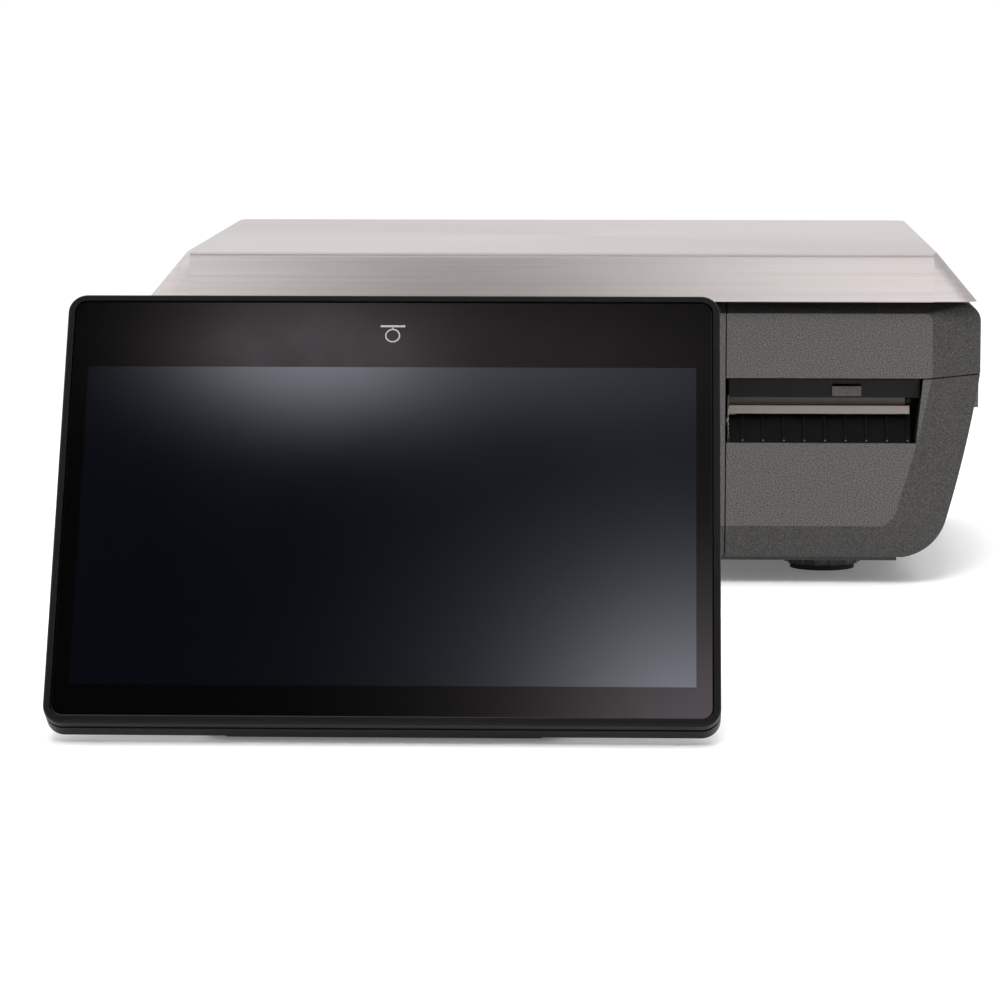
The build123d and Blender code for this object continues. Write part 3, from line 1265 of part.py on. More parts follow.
def console_stand():
    """Cast stand: a knuckle for the pin on a column with a bolted foot."""
    column = [
        (HINGE_Y - KNUCKLE_RADIUS, HINGE_Z),
        (HINGE_Y + KNUCKLE_RADIUS, HINGE_Z),
        (HINGE_Y + KNUCKLE_RADIUS + 6, PLATE_TOP_Z),
        (HINGE_Y - KNUCKLE_RADIUS - 2, PLATE_TOP_Z),
    ]
    stand = side_prism(column, CONSOLE_X - KNUCKLE_HALF, CONSOLE_X + KNUCKLE_HALF)
    stand += rod_x(CONSOLE_X - KNUCKLE_HALF, CONSOLE_X + KNUCKLE_HALF, HINGE_Y, HINGE_Z, KNUCKLE_RADIUS)
    foot = block(
        CONSOLE_X - KNUCKLE_HALF - 18,
        CONSOLE_X + KNUCKLE_HALF + 18,
        HINGE_Y - 14,
        HINGE_Y + 34,
        PLATE_TOP_Z,
        PLATE_TOP_Z + 6,
    )
    stand += fillet(foot.edges().filter_by(Axis.Z), 6)
    return stand - rod_x(
        CONSOLE_X - KNUCKLE_HALF - 1,
        CONSOLE_X + KNUCKLE_HALF + 1,
        HINGE_Y,
        HINGE_Z,
        HINGE_PIN_RADIUS + RUNNING_CLEARANCE,
    )


LINK_RISE_Y = HOUSING_FRONT_Y - 18.0
LINK_END_Y = HOUSING_FRONT_Y + 74.0
STAND_REAR_Y = HINGE_Y + 48.0
LINK_TOP_Z = PAN_Z


def link_plate():
    """Steel plate under the console that runs back and is bolted under the weigher's pan."""
    front = CONSOLE_FRONT_Y + CONSOLE_T * SLOPE_COS + 4.5
    half_stand = STAND_WIDTH / 2
    half_link = LINK_WIDTH / 2
    foot = block(CONSOLE_X - half_stand, CONSOLE_X + half_stand, front, STAND_REAR_Y, PAD_T, PLATE_TOP_Z)
    foot = fillet(foot.edges().filter_by(Axis.Z), 8)
    profile = [
        (STAND_REAR_Y - 10, PAD_T),
        (LINK_RISE_Y, PAD_T),
        (LINK_RISE_Y + 18, LINK_TOP_Z - PLATE_T),
        (LINK_END_Y, LINK_TOP_Z - PLATE_T),
        (LINK_END_Y, LINK_TOP_Z),
        (LINK_RISE_Y + 16.6, LINK_TOP_Z),
        (LINK_RISE_Y - 1.4, PLATE_TOP_Z),
        (STAND_REAR_Y - 10, PLATE_TOP_Z),
    ]
    return foot + side_prism(profile, CONSOLE_X - half_link, CONSOLE_X + half_link)


def console_pads():
    """Rubber strips under the link plate."""
    wide = STAND_WIDTH / 2 - 8
    narrow = LINK_WIDTH / 2 - 6
    front = CONSOLE_FRONT_Y + CONSOLE_T * SLOPE_COS + 4.5
    pads = []
    for half, y in ((wide, front + 4), (wide, STAND_REAR_Y - 14), (narrow, LINK_RISE_Y - 40)):
        pads.append(block(CONSOLE_X - half, CONSOLE_X + half, y, y + PAD_WIDTH, 0, PAD_T))
    return pads


RACEWAY_HALF = 13.0
RACEWAY_HEIGHT = 11.0
RACEWAY_WALL = 1.6


def cable_raceway():
    """Snap-on plastic channel on the link plate for the console's lead."""
    y0 = STAND_REAR_Y - 8
    y1 = LINK_RISE_Y - 6
    top = PLATE_TOP_Z + RACEWAY_HEIGHT
    channel = block(CONSOLE_X - RACEWAY_HALF, CONSOLE_X + RACEWAY_HALF, y0, y1, PLATE_TOP_Z, top)
    channel = fillet(channel.edges().filter_by(Axis.Y).group_by(Axis.Z)[-1], 3)
    inner = RACEWAY_HALF - RACEWAY_WALL
    hollow = (CONSOLE_X - inner, CONSOLE_X + inner, y0 - LAP, y1 + LAP)
    return channel - block(*hollow, PLATE_TOP_Z - LAP, top - RACEWAY_WALL)


def plate_bolts():
    """Bolts of the stand's foot and of the link plate under the pan."""
    bolts = []
    for x in (CONSOLE_X - KNUCKLE_HALF - 10, CONSOLE_X + KNUCKLE_HALF + 10):
        for y in (HINGE_Y - 6, HINGE_Y + 26):
            bolts.append(cap_screw(x, y, PLATE_TOP_Z + 6, 4, 2.4, 8, -1))
    for x in (CONSOLE_X - 34, CONSOLE_X + 34):
        for y in (LINK_END_Y - 44, LINK_END_Y - 14):
            bolts.append(cap_screw(x, y, LINK_TOP_Z - PLATE_T, 4, 2.4, 6, 1))
    return bolts


# ---------------------------------------------------------------- cut-outs shared by two pieces
def fixing_holes(pieces):
    """Take each screw's own shank out of what it passes through."""
    for screws, targets in (
        ("housing_screws", ("base_pan", "main_housing")),
        ("load_cell_bolts", ("load_cell_pedestal", "base_pan")),
        ("plate_bolts", ("console_stand", "link_plate", "base_pan")),
    ):
        for target in targets:
            for screw in pieces[screws]:
                pieces[target] -= screw


def solids_of(piece):
    """A list of the piece's separate solids."""
    if isinstance(piece, list):
        return [solid for item in piece for solid in item.solids()]
    return list(piece.solids())


def build():
    """Every piece by its node name."""
    pieces = {
        "main_housing": main_housing(),
        "printer_cover": printer_cover(),
        "base_pan": base_pan(),
        "rear_panel": rear_panel(),
        "housing_screws": housing_screws(),
        "platter": platter(),
        "platter_spider": platter_spider(),
        "spider_pads": spider_pads(),
        "load_cell": load_cell(),
        "load_cell_pedestal": load_cell_pedestal(),
        "load_cell_block": load_cell_block(),
        "load_cell_bolts": load_cell_bolts(),
        "main_board": main_board(),
        "power_supply": power_supply(),
        "power_inlet": power_inlet(),
        "power_rocker": power_rocker(),
        "data_ports": data_ports(),
        "bubble_level": bubble_level(),
        "drawer_rails": drawer_rails(),
        "drawer_shell": drawer_shell(),
        "drawer_tray": drawer_tray(),
        "latch_tab": latch_tab(),
        "printer_chassis": printer_chassis(),
        "platen_bushes": platen_bushes(),
        "platen_roller": platen_roller(),
        "platen_shaft": platen_shaft(),
        "platen_gear": platen_gear(),
        "motor_pinion": motor_pinion(),
        "stepper_motor": stepper_motor(),
        "rib_guide": rib_guide(),
        "tear_bar": tear_bar(),
        "head_cover": head_cover(),
        "label_sensor": label_sensor(),
        "head_bracket": head_bracket(),
        "thermal_head": thermal_head(),
        "head_shaft": head_shaft(),
        "head_lever": head_lever(),
        "label_roll": label_roll(),
        "roll_spindle": roll_spindle(),
        "display_frame": display_frame(),
        "cover_glass": cover_glass(),
        "lcd_panel": lcd_panel(),
        "display_board": display_board(),
        "display_rear_shell": display_rear_shell(),
        "display_screws": display_screws(),
        "tilt_bracket": tilt_bracket(),
        "hinge_pin": hinge_pin(),
        "console_stand": console_stand(),
        "link_plate": link_plate(),
        "console_pads": console_pads(),
        "cable_raceway": cable_raceway(),
        "plate_bolts": plate_bolts(),
    }
    for number, (x, y) in enumerate(foot_places(), start=1):
        pieces[f"foot_wheel_{number}"] = foot_wheel(x, y)
        pieces[f"foot_pad_{number}"] = foot_pad(x, y)
    fixing_holes(pieces)
    return pieces


os.makedirs("parts", exist_ok=True)
for node, piece in build().items():
    export_step(Compound(children=solids_of(piece)), f"parts/{node}.step")
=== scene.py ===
import json
import math

import bmesh
import bpy
from mathutils import Matrix, Vector


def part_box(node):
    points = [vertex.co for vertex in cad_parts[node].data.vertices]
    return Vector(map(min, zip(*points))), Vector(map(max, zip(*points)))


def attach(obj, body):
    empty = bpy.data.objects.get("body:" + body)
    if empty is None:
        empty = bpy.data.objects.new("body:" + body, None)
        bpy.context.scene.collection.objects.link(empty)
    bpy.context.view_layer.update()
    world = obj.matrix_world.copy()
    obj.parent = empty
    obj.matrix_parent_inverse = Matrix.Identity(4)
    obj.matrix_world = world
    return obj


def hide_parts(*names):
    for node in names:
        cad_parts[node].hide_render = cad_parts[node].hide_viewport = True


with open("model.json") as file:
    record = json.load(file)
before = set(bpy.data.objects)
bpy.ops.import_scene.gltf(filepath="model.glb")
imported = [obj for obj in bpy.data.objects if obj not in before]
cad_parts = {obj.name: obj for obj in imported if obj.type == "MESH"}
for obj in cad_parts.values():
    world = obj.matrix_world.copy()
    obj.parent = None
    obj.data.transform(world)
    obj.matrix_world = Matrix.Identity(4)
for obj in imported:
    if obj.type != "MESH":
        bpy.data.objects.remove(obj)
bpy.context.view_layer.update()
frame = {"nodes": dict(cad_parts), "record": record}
nodes = frame["nodes"]
scene = bpy.context.scene

# ---------------------------------------------------------------- camera
# A long lens a little above the counter, two metres in front of the console and turned
# slightly to the left, so that the console stands in front of the weigher's left part.
CAMERA_AT = Vector((0.045, -2.104, 0.31005))
CAMERA_TURN = math.radians(1.9967)
CAMERA_DIP = math.radians(6.9169)
LENS_MM = 154.8
FILM_MM = 36.0

camera = bpy.data.objects.new("camera", bpy.data.cameras.new("camera"))
camera.data.lens = LENS_MM
camera.data.sensor_width = FILM_MM
camera.location = CAMERA_AT
camera.rotation_euler = (math.pi / 2 - CAMERA_DIP, 0, CAMERA_TURN)
scene.collection.objects.link(camera)
scene.camera = camera
scene.view_settings.view_transform = "Standard"


# ---------------------------------------------------------------- floor and light
# A white studio sweep: one wide pale floor under an even sky of soft light, with a dark
# card hung where the screen's mirror looks, and soft lamps in front of the card.
FLOOR_SIZE = 160.0
FLOOR_WHITE = 0.96
FLOOR_GLOW = 0.14
SKY_COLOUR = (1.0, 0.995, 0.99, 1)
SKY_LEVEL = 1.12
SKY_RIGHT = 0.55             # share of that level far out on the right
SKY_RIGHT_SPAN = (0.1, 0.9)  # where the change begins and ends, as X of the direction
SKY_BACK = 0.86              # share of that level low down behind
SKY_BACK_SPAN = (0.4, 0.95)  # and as Y of the direction
KEY_AT = Vector((-0.05, -1.55, 1.65))
KEY_AIM = Vector((0.12, 0.08, 0.08))
KEY_SIZE = 0.9
KEY_SPREAD = math.radians(36)
KEY_WATTS = 2.4
CARD_LEVEL = 0.01
CARD_HALF_WIDTH = 17.0       # degrees of sky from the card's middle to its rim
CARD_FADE = 9.0              # degrees over which the rim fades, inward and outward
TOP_LIGHT_SIZE = 1.8
TOP_LIGHT_AT = (0.25, 0.05, 1.9)
TOP_LIGHT_WATTS = 9.0


def calculate(tree, operation, first, second=0.5):
    """A Math node; each input is a socket or a number."""
    made = tree.nodes.new("ShaderNodeMath")
    made.operation = operation
    for index, value in enumerate((first, second)):
        if isinstance(value, bpy.types.NodeSocket):
            tree.links.new(value, made.inputs[index])
        else:
            made.inputs[index].default_value = value
    return made.outputs[0]


def remap(tree, value, low, high, new_low, new_high, ease="LINEAR"):
    """A Map Range node from one span to another."""
    made = tree.nodes.new("ShaderNodeMapRange")
    made.interpolation_type = ease
    tree.links.new(value, made.inputs["Value"])
    for socket, number in zip(("From Min", "From Max", "To Min", "To Max"), (low, high, new_low, new_high)):
        made.inputs[socket].default_value = number
    return made.outputs["Result"]


def new_finish(name, colour, roughness, metallic=0.0, **sockets):
    """A material with constant shader sockets; patterns are linked in afterwards."""
    made = bpy.data.materials.new(name)
    made.use_nodes = True
    shader = made.node_tree.nodes["Principled BSDF"]
    shader.inputs["Base Color"].default_value = (*colour, 1)
    shader.inputs["Roughness"].default_value = roughness
    shader.inputs["Metallic"].default_value = metallic
    for socket, value in sockets.items():
        shader.inputs[socket.replace("_", " ")].default_value = value
    return made


def soft_light(name, at, size, watts):
    """A square lamp facing down until it is turned; neither it nor its reflection shows."""
    lamp = bpy.data.objects.new(name, bpy.data.lights.new(name, "AREA"))
    lamp.data.size = size
    lamp.data.energy = watts
    lamp.location = at
    lamp.visible_camera = False
    lamp.visible_glossy = False
    scene.collection.objects.link(lamp)
    return lamp


floor_mesh = bmesh.new()
bmesh.ops.create_grid(floor_mesh, x_segments=1, y_segments=1, size=FLOOR_SIZE / 2)
floor = bpy.data.objects.new("studio_floor", bpy.data.meshes.new("studio_floor"))
floor_mesh.to_mesh(floor.data)
floor_mesh.free()
scene.collection.objects.link(floor)
floor_paint = new_finish("studio_floor", (FLOOR_WHITE,) * 3, 0.9, Specular_IOR_Level=0.1,
                         Emission_Color=(1, 1, 1, 1), Emission_Strength=FLOOR_GLOW)
floor.data.materials.append(floor_paint)

soft_light("top_light", TOP_LIGHT_AT, TOP_LIGHT_SIZE, TOP_LIGHT_WATTS)
key_light = soft_light("key_light", KEY_AT, KEY_SIZE, KEY_WATTS)
key_light.data.spread = KEY_SPREAD
key_light.rotation_euler = (KEY_AIM - KEY_AT).to_track_quat("-Z", "Y").to_euler()

# Soft lamps that the screen mirrors: where each shows on the glass, in metres right of its
# middle and up its slope, its spread across and up in degrees, and its strength. The last
# two share a place: a core and the halo round it.
TILT = math.radians(31.0)
glass_lo, glass_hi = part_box("cover_glass")
GLASS_PLACE = Matrix.Translation((glass_lo + glass_hi) / 2) @ Matrix.Rotation(-TILT, 4, "X")
GLASS_FACING = GLASS_PLACE.to_3x3() @ Vector((0, -1, 0))
LAMPS = (
    (-0.036, 0.0725, 1.1, 0.52, 2.1),
    (0.062, 0.0720, 2.0, 0.6, 0.45),
    (0.131, -0.107, 1.15, 1.15, 1.8),
    (0.131, -0.107, 2.1, 1.9, 0.6),
)

world = bpy.data.worlds.new("studio_sky")
scene.world = world
world.use_nodes = True
sky = world.node_tree
sky_direction = sky.nodes.new("ShaderNodeTexCoord").outputs["Generated"]
sky_axes = sky.nodes.new("ShaderNodeSeparateXYZ")
sky.links.new(sky_direction, sky_axes.inputs[0])


def mirrored(across, up):
    """Direction in which the camera looks by way of a spot on the glass."""
    sight = (GLASS_PLACE @ Vector((across, 0, up)) - CAMERA_AT).normalized()
    return sight - 2 * sight.dot(GLASS_FACING) * GLASS_FACING


def along_sky(axis):
    """How far each direction of the sky runs along this axis."""
    product = sky.nodes.new("ShaderNodeVectorMath")
    product.operation = "DOT_PRODUCT"
    sky.links.new(sky_direction, product.inputs[0])
    product.inputs[1].default_value = axis
    return product.outputs["Value"]


def sky_share(axis_name, span, share):
    """Share of the sky's level, from one down to this share over a span of one axis."""
    return remap(sky, sky_axes.outputs[axis_name], *span, 1.0, share, "SMOOTHSTEP")


card_rim = [math.cos(math.radians(CARD_HALF_WIDTH + reach)) for reach in (CARD_FADE, -CARD_FADE)]
brightness = remap(sky, along_sky(mirrored(0, 0)), *card_rim, SKY_LEVEL, CARD_LEVEL, "SMOOTHSTEP")
shares = calculate(sky, "MULTIPLY", sky_share("X", SKY_RIGHT_SPAN, SKY_RIGHT),
                   sky_share("Y", SKY_BACK_SPAN, SKY_BACK))
brightness = calculate(sky, "MULTIPLY", brightness, shares)
SKY_ACROSS = (mirrored(0.1, 0) - mirrored(-0.1, 0)).normalized()
SKY_UP = (mirrored(0, 0.1) - mirrored(0, -0.1)).normalized()
for across, up, spread_across, spread_up, strength in LAMPS:
    middle = mirrored(across, up)
    off_middle = 0.0
    for axis, spread in ((SKY_ACROSS, spread_across), (SKY_UP, spread_up)):
        offset = calculate(sky, "SUBTRACT", along_sky(axis), middle.dot(axis))
        spreads = calculate(sky, "DIVIDE", offset, math.radians(spread))
        off_middle = calculate(sky, "ADD", calculate(sky, "MULTIPLY", spreads, spreads), off_middle)
    fall_off = calculate(sky, "EXPONENT", calculate(sky, "MULTIPLY", off_middle, -0.5))
    brightness = calculate(sky, "ADD", brightness, calculate(sky, "MULTIPLY", fall_off, strength))
sky.links.new(brightness, sky.nodes["Background"].inputs["Strength"])
sky.nodes["Background"].inputs["Color"].default_value = SKY_COLOUR


# ---------------------------------------------------------------- platter
# Stainless sheet, brushed from side to side and folded down in front and behind; the side
# wings are rolled over and closed with flat gussets. It lies loose on four rubber pads.
STEEL_COLOUR = (0.62, 0.575, 0.565)
MIX_COLOURS = (6, 7)         # the Mix node's two colour inputs, by number
MIX_RESULT = 2               # and its colour output


def grain(made, scale, stretch=(1, 1, 1), detail=3.0, rough=0.55):
    """Noise on the piece's own coordinates, stretched along each axis."""
    tree = made.node_tree
    place = tree.nodes.new("ShaderNodeTexCoord")
    spread = tree.nodes.new("ShaderNodeMapping")
    spread.inputs["Scale"].default_value = stretch
    tree.links.new(place.outputs["Object"], spread.inputs["Vector"])
    noise = tree.nodes.new("ShaderNodeTexNoise")
    noise.inputs["Scale"].default_value = scale
    noise.inputs["Detail"].default_value = detail
    noise.inputs["Roughness"].default_value = rough
    tree.links.new(spread.outputs["Vector"], noise.inputs["Vector"])
    return noise.outputs["Fac"]


def blend(made, factor, first, second, low, high):
    """Colour that runs from first to second with a pattern; each is a socket or a colour."""
    tree = made.node_tree
    mix = tree.nodes.new("ShaderNodeMix")
    mix.data_type = "RGBA"
    for index, colour in zip(MIX_COLOURS, (first, second)):
        if isinstance(colour, bpy.types.NodeSocket):
            tree.links.new(colour, mix.inputs[index])
        else:
            mix.inputs[index].default_value = (*colour, 1)
    tree.links.new(remap(tree, factor, low, high, 0, 1), mix.inputs[0])
    return mix.outputs[MIX_RESULT]


def tint(made, factor, dark, light, low=0.35, high=0.65):
    """Base colour that runs from dark to light with a pattern."""
    varied = blend(made, factor, dark, light, low, high)
    made.node_tree.links.new(varied, made.node_tree.nodes["Principled BSDF"].inputs["Base Color"])


def polish(made, factor, low, high):
    """Roughness that varies with a pattern."""
    tree = made.node_tree
    varied = remap(tree, factor, 0.3, 0.7, low, high)
    tree.links.new(varied, tree.nodes["Principled BSDF"].inputs["Roughness"])


def relief(made, height, depth, strength):
    """Fine surface relief, depth in metres."""
    tree = made.node_tree
    bump = tree.nodes.new("ShaderNodeBump")
    bump.inputs["Strength"].default_value = strength
    bump.inputs["Distance"].default_value = depth
    tree.links.new(height, bump.inputs["Height"])
    tree.links.new(bump.outputs["Normal"], tree.nodes["Principled BSDF"].inputs["Normal"])


def own_axis(made, kind, axis):
    """One axis of the piece's own Object place or of its surface Normal."""
    tree = made.node_tree
    place = tree.nodes.new("ShaderNodeTexCoord")
    axes = tree.nodes.new("ShaderNodeSeparateXYZ")
    tree.links.new(place.outputs[kind], axes.inputs[0])
    return axes.outputs[axis]


def coat(made, *names):
    """Give CAD nodes this finish."""
    for name in names:
        nodes[name].data.materials.clear()
        nodes[name].data.materials.append(made)


steel = new_finish("brushed_stainless", STEEL_COLOUR, 0.42, 1.0, Anisotropic=0.6,
                   Anisotropic_Rotation=0.25)
brush_marks = grain(steel, 1500, (0.006, 1, 1), 4.0, 0.7)
tint(steel, grain(steel, 520, (0.004, 1, 1), 3.0), (0.575, 0.53, 0.52), (0.65, 0.61, 0.60), 0.3, 0.7)
polish(steel, brush_marks, 0.36, 0.5)
relief(steel, brush_marks, 0.00001, 0.25)
coat(steel, "platter")

# ---------------------------------------------------------------- housing mouldings
# Charcoal ABS with a spark-eroded grain, with painted shade: darker on the bands and sides,
# and paler on the flat front, by the way each faces. The covers are screwed to the pan below.
PAINTED_SHADE_FACING = (-0.985, -0.999)    # the normal's Y on the bands and on the flat front
moulding = new_finish("charcoal_moulding", (0.06, 0.0575, 0.055), 0.6, Specular_IOR_Level=0.22)
speckle = grain(moulding, 1500, detail=2.0)
# A shaded and a lit copy of the same speckled charcoal, for the painted shade.
painted_shade_side_colour = blend(moulding, speckle, (0.020, 0.0195, 0.019), (0.066, 0.064, 0.061), 0.36, 0.66)
painted_light_front_colour = blend(moulding, speckle, (0.036, 0.0345, 0.0325), (0.108, 0.103, 0.097), 0.36, 0.66)
# Painted shade: faces turned away from the front take the darker copy, the flat front the paler one.
tint(moulding, own_axis(moulding, "Normal", "Y"), painted_shade_side_colour, painted_light_front_colour, *PAINTED_SHADE_FACING)
polish(moulding, grain(moulding, 700, detail=2.0), 0.48, 0.66)
relief(moulding, speckle, 0.00012, 0.55)
coat(moulding, "main_housing", "printer_cover", "drawer_shell")

# ---------------------------------------------------------------- black mouldings
# Satin black parts: the label ramp and its ribs, the print head's cover, the rocker, the
# inlet, the foot wheels, the lead's channel, and the console's frame and rear shell. The
# latch tab and the label sensor are moulded in greys.
satin_black = new_finish("satin_black", (0.002, 0.002, 0.002), 0.34, Specular_IOR_Level=0.2)
polish(satin_black, grain(satin_black, 900, detail=2.0), 0.28, 0.42)
relief(satin_black, grain(satin_black, 2200, detail=1.0), 0.00003, 0.3)
coat(satin_black, "rib_guide", "head_cover", "cable_raceway", "power_rocker", "power_inlet")

wheel_black = new_finish("foot_wheel_black", (0.006, 0.006, 0.006), 0.24, Specular_IOR_Level=0.7)
polish(wheel_black, grain(wheel_black, 600, detail=2.0), 0.18, 0.32)
for number in range(1, 5):
    coat(wheel_black, f"foot_wheel_{number}")

casing_black = new_finish("casing_black", (0.005, 0.005, 0.0055), 0.5, Specular_IOR_Level=0.12)
casing_grain = grain(casing_black, 1800, detail=2.0)
tint(casing_black, casing_grain, (0.003, 0.003, 0.0034), (0.007, 0.007, 0.0076))
polish(casing_black, casing_grain, 0.36, 0.5)
relief(casing_black, casing_grain, 0.00005, 0.4)
coat(casing_black, "display_frame", "display_rear_shell")

latch_grey = new_finish("latch_moulding", (0.11, 0.105, 0.09), 0.45, Specular_IOR_Level=0.45)
tint(latch_grey, grain(latch_grey, 1400, detail=2.0), (0.08, 0.077, 0.066), (0.14, 0.134, 0.115))
relief(latch_grey, grain(latch_grey, 1800, detail=2.0), 0.00006, 0.4)
coat(latch_grey, "latch_tab")

sensor_grey = new_finish("sensor_window", (0.04, 0.038, 0.036), 0.3, Specular_IOR_Level=0.5)
tint(sensor_grey, grain(sensor_grey, 900, detail=2.0), (0.03, 0.029, 0.027), (0.05, 0.048, 0.045))
coat(sensor_grey, "label_sensor")

# ---------------------------------------------------------------- tear bar and steel pieces
# The tear bar is much paler in colour along its lip than on its web above. Shafts are bright stainless;
# sheet pieces and screws zinc-plated; arms cast and the load cell milled aluminium; the pan, the rear
# panel, the console's stand and plate and the motor powder-coated black.
bright_steel = new_finish("bright_stainless", (0.66, 0.65, 0.63), 0.22, 1.0)
polish(bright_steel, grain(bright_steel, 1200, (0.02, 1, 1)), 0.15, 0.32)
coat(bright_steel, "platen_shaft", "head_shaft", "hinge_pin")

LIP_HEIGHT = 0.005
LIP_EDGE = (0.0002, -0.0003)       # the paler colour fades in between these heights round the lip's top
LIP_SHARE = 0.7                    # of the tone, the rest being the brush marks
bar_steel = new_finish("tear_bar_steel", (0.33, 0.30, 0.27), 0.36, 1.0)
bar_tree = bar_steel.node_tree
bar_marks = grain(bar_steel, 1400, (0.01, 1, 1), 3.0)
lip_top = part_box("tear_bar")[0].z + LIP_HEIGHT
lip_fade = [lip_top + edge for edge in LIP_EDGE]
is_lip = remap(bar_tree, own_axis(bar_steel, "Object", "Z"), *lip_fade, 0, LIP_SHARE)
lip_marks = calculate(bar_tree, "ADD", is_lip, calculate(bar_tree, "MULTIPLY", bar_marks, 1 - LIP_SHARE))
tint(bar_steel, lip_marks, (0.035, 0.028, 0.024), (0.26, 0.235, 0.21), 0.0, 1.0)
polish(bar_steel, bar_marks, 0.28, 0.44)
coat(bar_steel, "tear_bar")

zinc = new_finish("zinc_plate", (0.46, 0.47, 0.48), 0.38, 1.0)
spangle = grain(zinc, 160, detail=2.0)
tint(zinc, spangle, (0.38, 0.39, 0.40), (0.54, 0.55, 0.57))
polish(zinc, spangle, 0.28, 0.5)
coat(zinc, "drawer_tray", "printer_chassis", "housing_screws", "load_cell_bolts",
     "plate_bolts", "display_screws", "tilt_bracket", "power_supply", "data_ports")

cast = new_finish("cast_aluminium", (0.5, 0.51, 0.52), 0.5, 1.0)
cast_skin = grain(cast, 600, detail=3.0)
tint(cast, cast_skin, (0.42, 0.43, 0.44), (0.56, 0.57, 0.58))
relief(cast, cast_skin, 0.0001, 0.6)
coat(cast, "platter_spider", "load_cell_pedestal")

milled = new_finish("milled_aluminium", (0.7, 0.71, 0.73), 0.28, 1.0)
polish(milled, grain(milled, 800, (1, 0.05, 1)), 0.2, 0.38)
coat(milled, "load_cell", "load_cell_block", "head_bracket")

powder = new_finish("powder_coat", (0.014, 0.014, 0.015), 0.5, Specular_IOR_Level=0.5)
orange_peel = grain(powder, 900, detail=2.0)
tint(powder, orange_peel, (0.01, 0.01, 0.011), (0.02, 0.02, 0.021))
relief(powder, orange_peel, 0.0001, 0.5)
coat(powder, "base_pan", "link_plate", "console_stand", "rear_panel", "stepper_motor")

# ---------------------------------------------------------------- rubber, nylon and paper
# Soft black pads and the platen's sleeve, white nylon rails, bushes and gear, the label
# roll on its spindle, the brass pinion and the green head lever.
rubber = new_finish("black_rubber", (0.018, 0.018, 0.018), 0.75, Specular_IOR_Level=0.3)
relief(rubber, grain(rubber, 1100, detail=2.0), 0.0001, 0.5)
coat(rubber, "spider_pads", "console_pads", "platen_roller", *(f"foot_pad_{n}" for n in range(1, 5)))

nylon = new_finish("natural_nylon", (0.7, 0.69, 0.64), 0.42, Specular_IOR_Level=0.5)
tint(nylon, grain(nylon, 60), (0.64, 0.63, 0.58), (0.74, 0.73, 0.69))
coat(nylon, "drawer_rails", "platen_bushes", "platen_gear", "roll_spindle")

paper = new_finish("label_paper", (0.86, 0.86, 0.84), 0.6, Specular_IOR_Level=0.3)
layers = paper.node_tree.nodes.new("ShaderNodeTexWave")
layers.wave_type = "RINGS"
layers.rings_direction = "X"
layers.inputs["Scale"].default_value = 900
roll_lo, roll_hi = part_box("label_roll")
centre_roll = paper.node_tree.nodes.new("ShaderNodeMapping")
centre_roll.inputs["Location"].default_value = -(roll_lo + roll_hi) / 2
paper_place = paper.node_tree.nodes.new("ShaderNodeTexCoord")
paper.node_tree.links.new(paper_place.outputs["Object"], centre_roll.inputs["Vector"])
paper.node_tree.links.new(centre_roll.outputs["Vector"], layers.inputs["Vector"])
tint(paper, layers.outputs["Fac"], (0.74, 0.73, 0.70), (0.9, 0.9, 0.885), 0.1, 0.9)
coat(paper, "label_roll")

brass = new_finish("turned_brass", (0.72, 0.52, 0.24), 0.3, 1.0)
polish(brass, grain(brass, 900, (0.1, 1, 1)), 0.22, 0.4)
coat(brass, "motor_pinion")

green = new_finish("green_touch_point", (0.01, 0.12, 0.05), 0.4, Specular_IOR_Level=0.5)
tint(green, grain(green, 500), (0.008, 0.1, 0.04), (0.014, 0.15, 0.06))
coat(green, "head_lever")

ceramic = new_finish("glazed_ceramic", (0.78, 0.76, 0.7), 0.15, Specular_IOR_Level=0.6)
tint(ceramic, grain(ceramic, 300), (0.72, 0.7, 0.64), (0.82, 0.8, 0.75))
coat(ceramic, "thermal_head")

vial = new_finish("level_vial", (0.35, 0.55, 0.12), 0.08, Transmission_Weight=0.5, IOR=1.49)
tint(vial, grain(vial, 200), (0.3, 0.5, 0.1), (0.42, 0.6, 0.16))
coat(vial, "bubble_level")

# ---------------------------------------------------------------- circuit boards
# Green glass-fibre boards with copper tracks under the solder mask: the controller in the
# weigher and the panel computer's board behind the screen.
board = new_finish("solder_mask", (0.02, 0.14, 0.06), 0.3, Specular_IOR_Level=0.5)
tracks = board.node_tree.nodes.new("ShaderNodeTexBrick")
tracks.inputs["Scale"].default_value = 260
tracks.inputs["Mortar Size"].default_value = 0.03
board_place = board.node_tree.nodes.new("ShaderNodeTexCoord")
board.node_tree.links.new(board_place.outputs["Object"], tracks.inputs["Vector"])
tint(board, tracks.outputs["Fac"], (0.015, 0.11, 0.045), (0.05, 0.24, 0.12), 0, 1)
coat(board, "main_board", "display_board")

panel_black = new_finish("panel_back", (0.02, 0.02, 0.022), 0.25, Specular_IOR_Level=0.5)
polish(panel_black, grain(panel_black, 400), 0.2, 0.32)
coat(panel_black, "lcd_panel")

# ---------------------------------------------------------------- cover glass
# Hardened glass over the whole console, bonded to the frame. Its border is printed black;
# in the picture area the switched-off panel shows through as a deep blue black.
GLASS_T = 0.002
GLASS_CORNER = 0.0049
GLASS_EDGE = 0.0005
SCREEN_W = 0.2563
SCREEN_H = 0.1442
SCREEN_DROP = -0.0084        # the picture's middle against the glass's, up the slope
GLASS_SMOOTH = 12.0          # degrees, so that the flat front isn't shaded into its rim
glass_size = glass_hi - glass_lo
GLASS_W = glass_size.x
GLASS_H = (glass_size.z - GLASS_T * math.sin(TILT)) / math.cos(TILT)


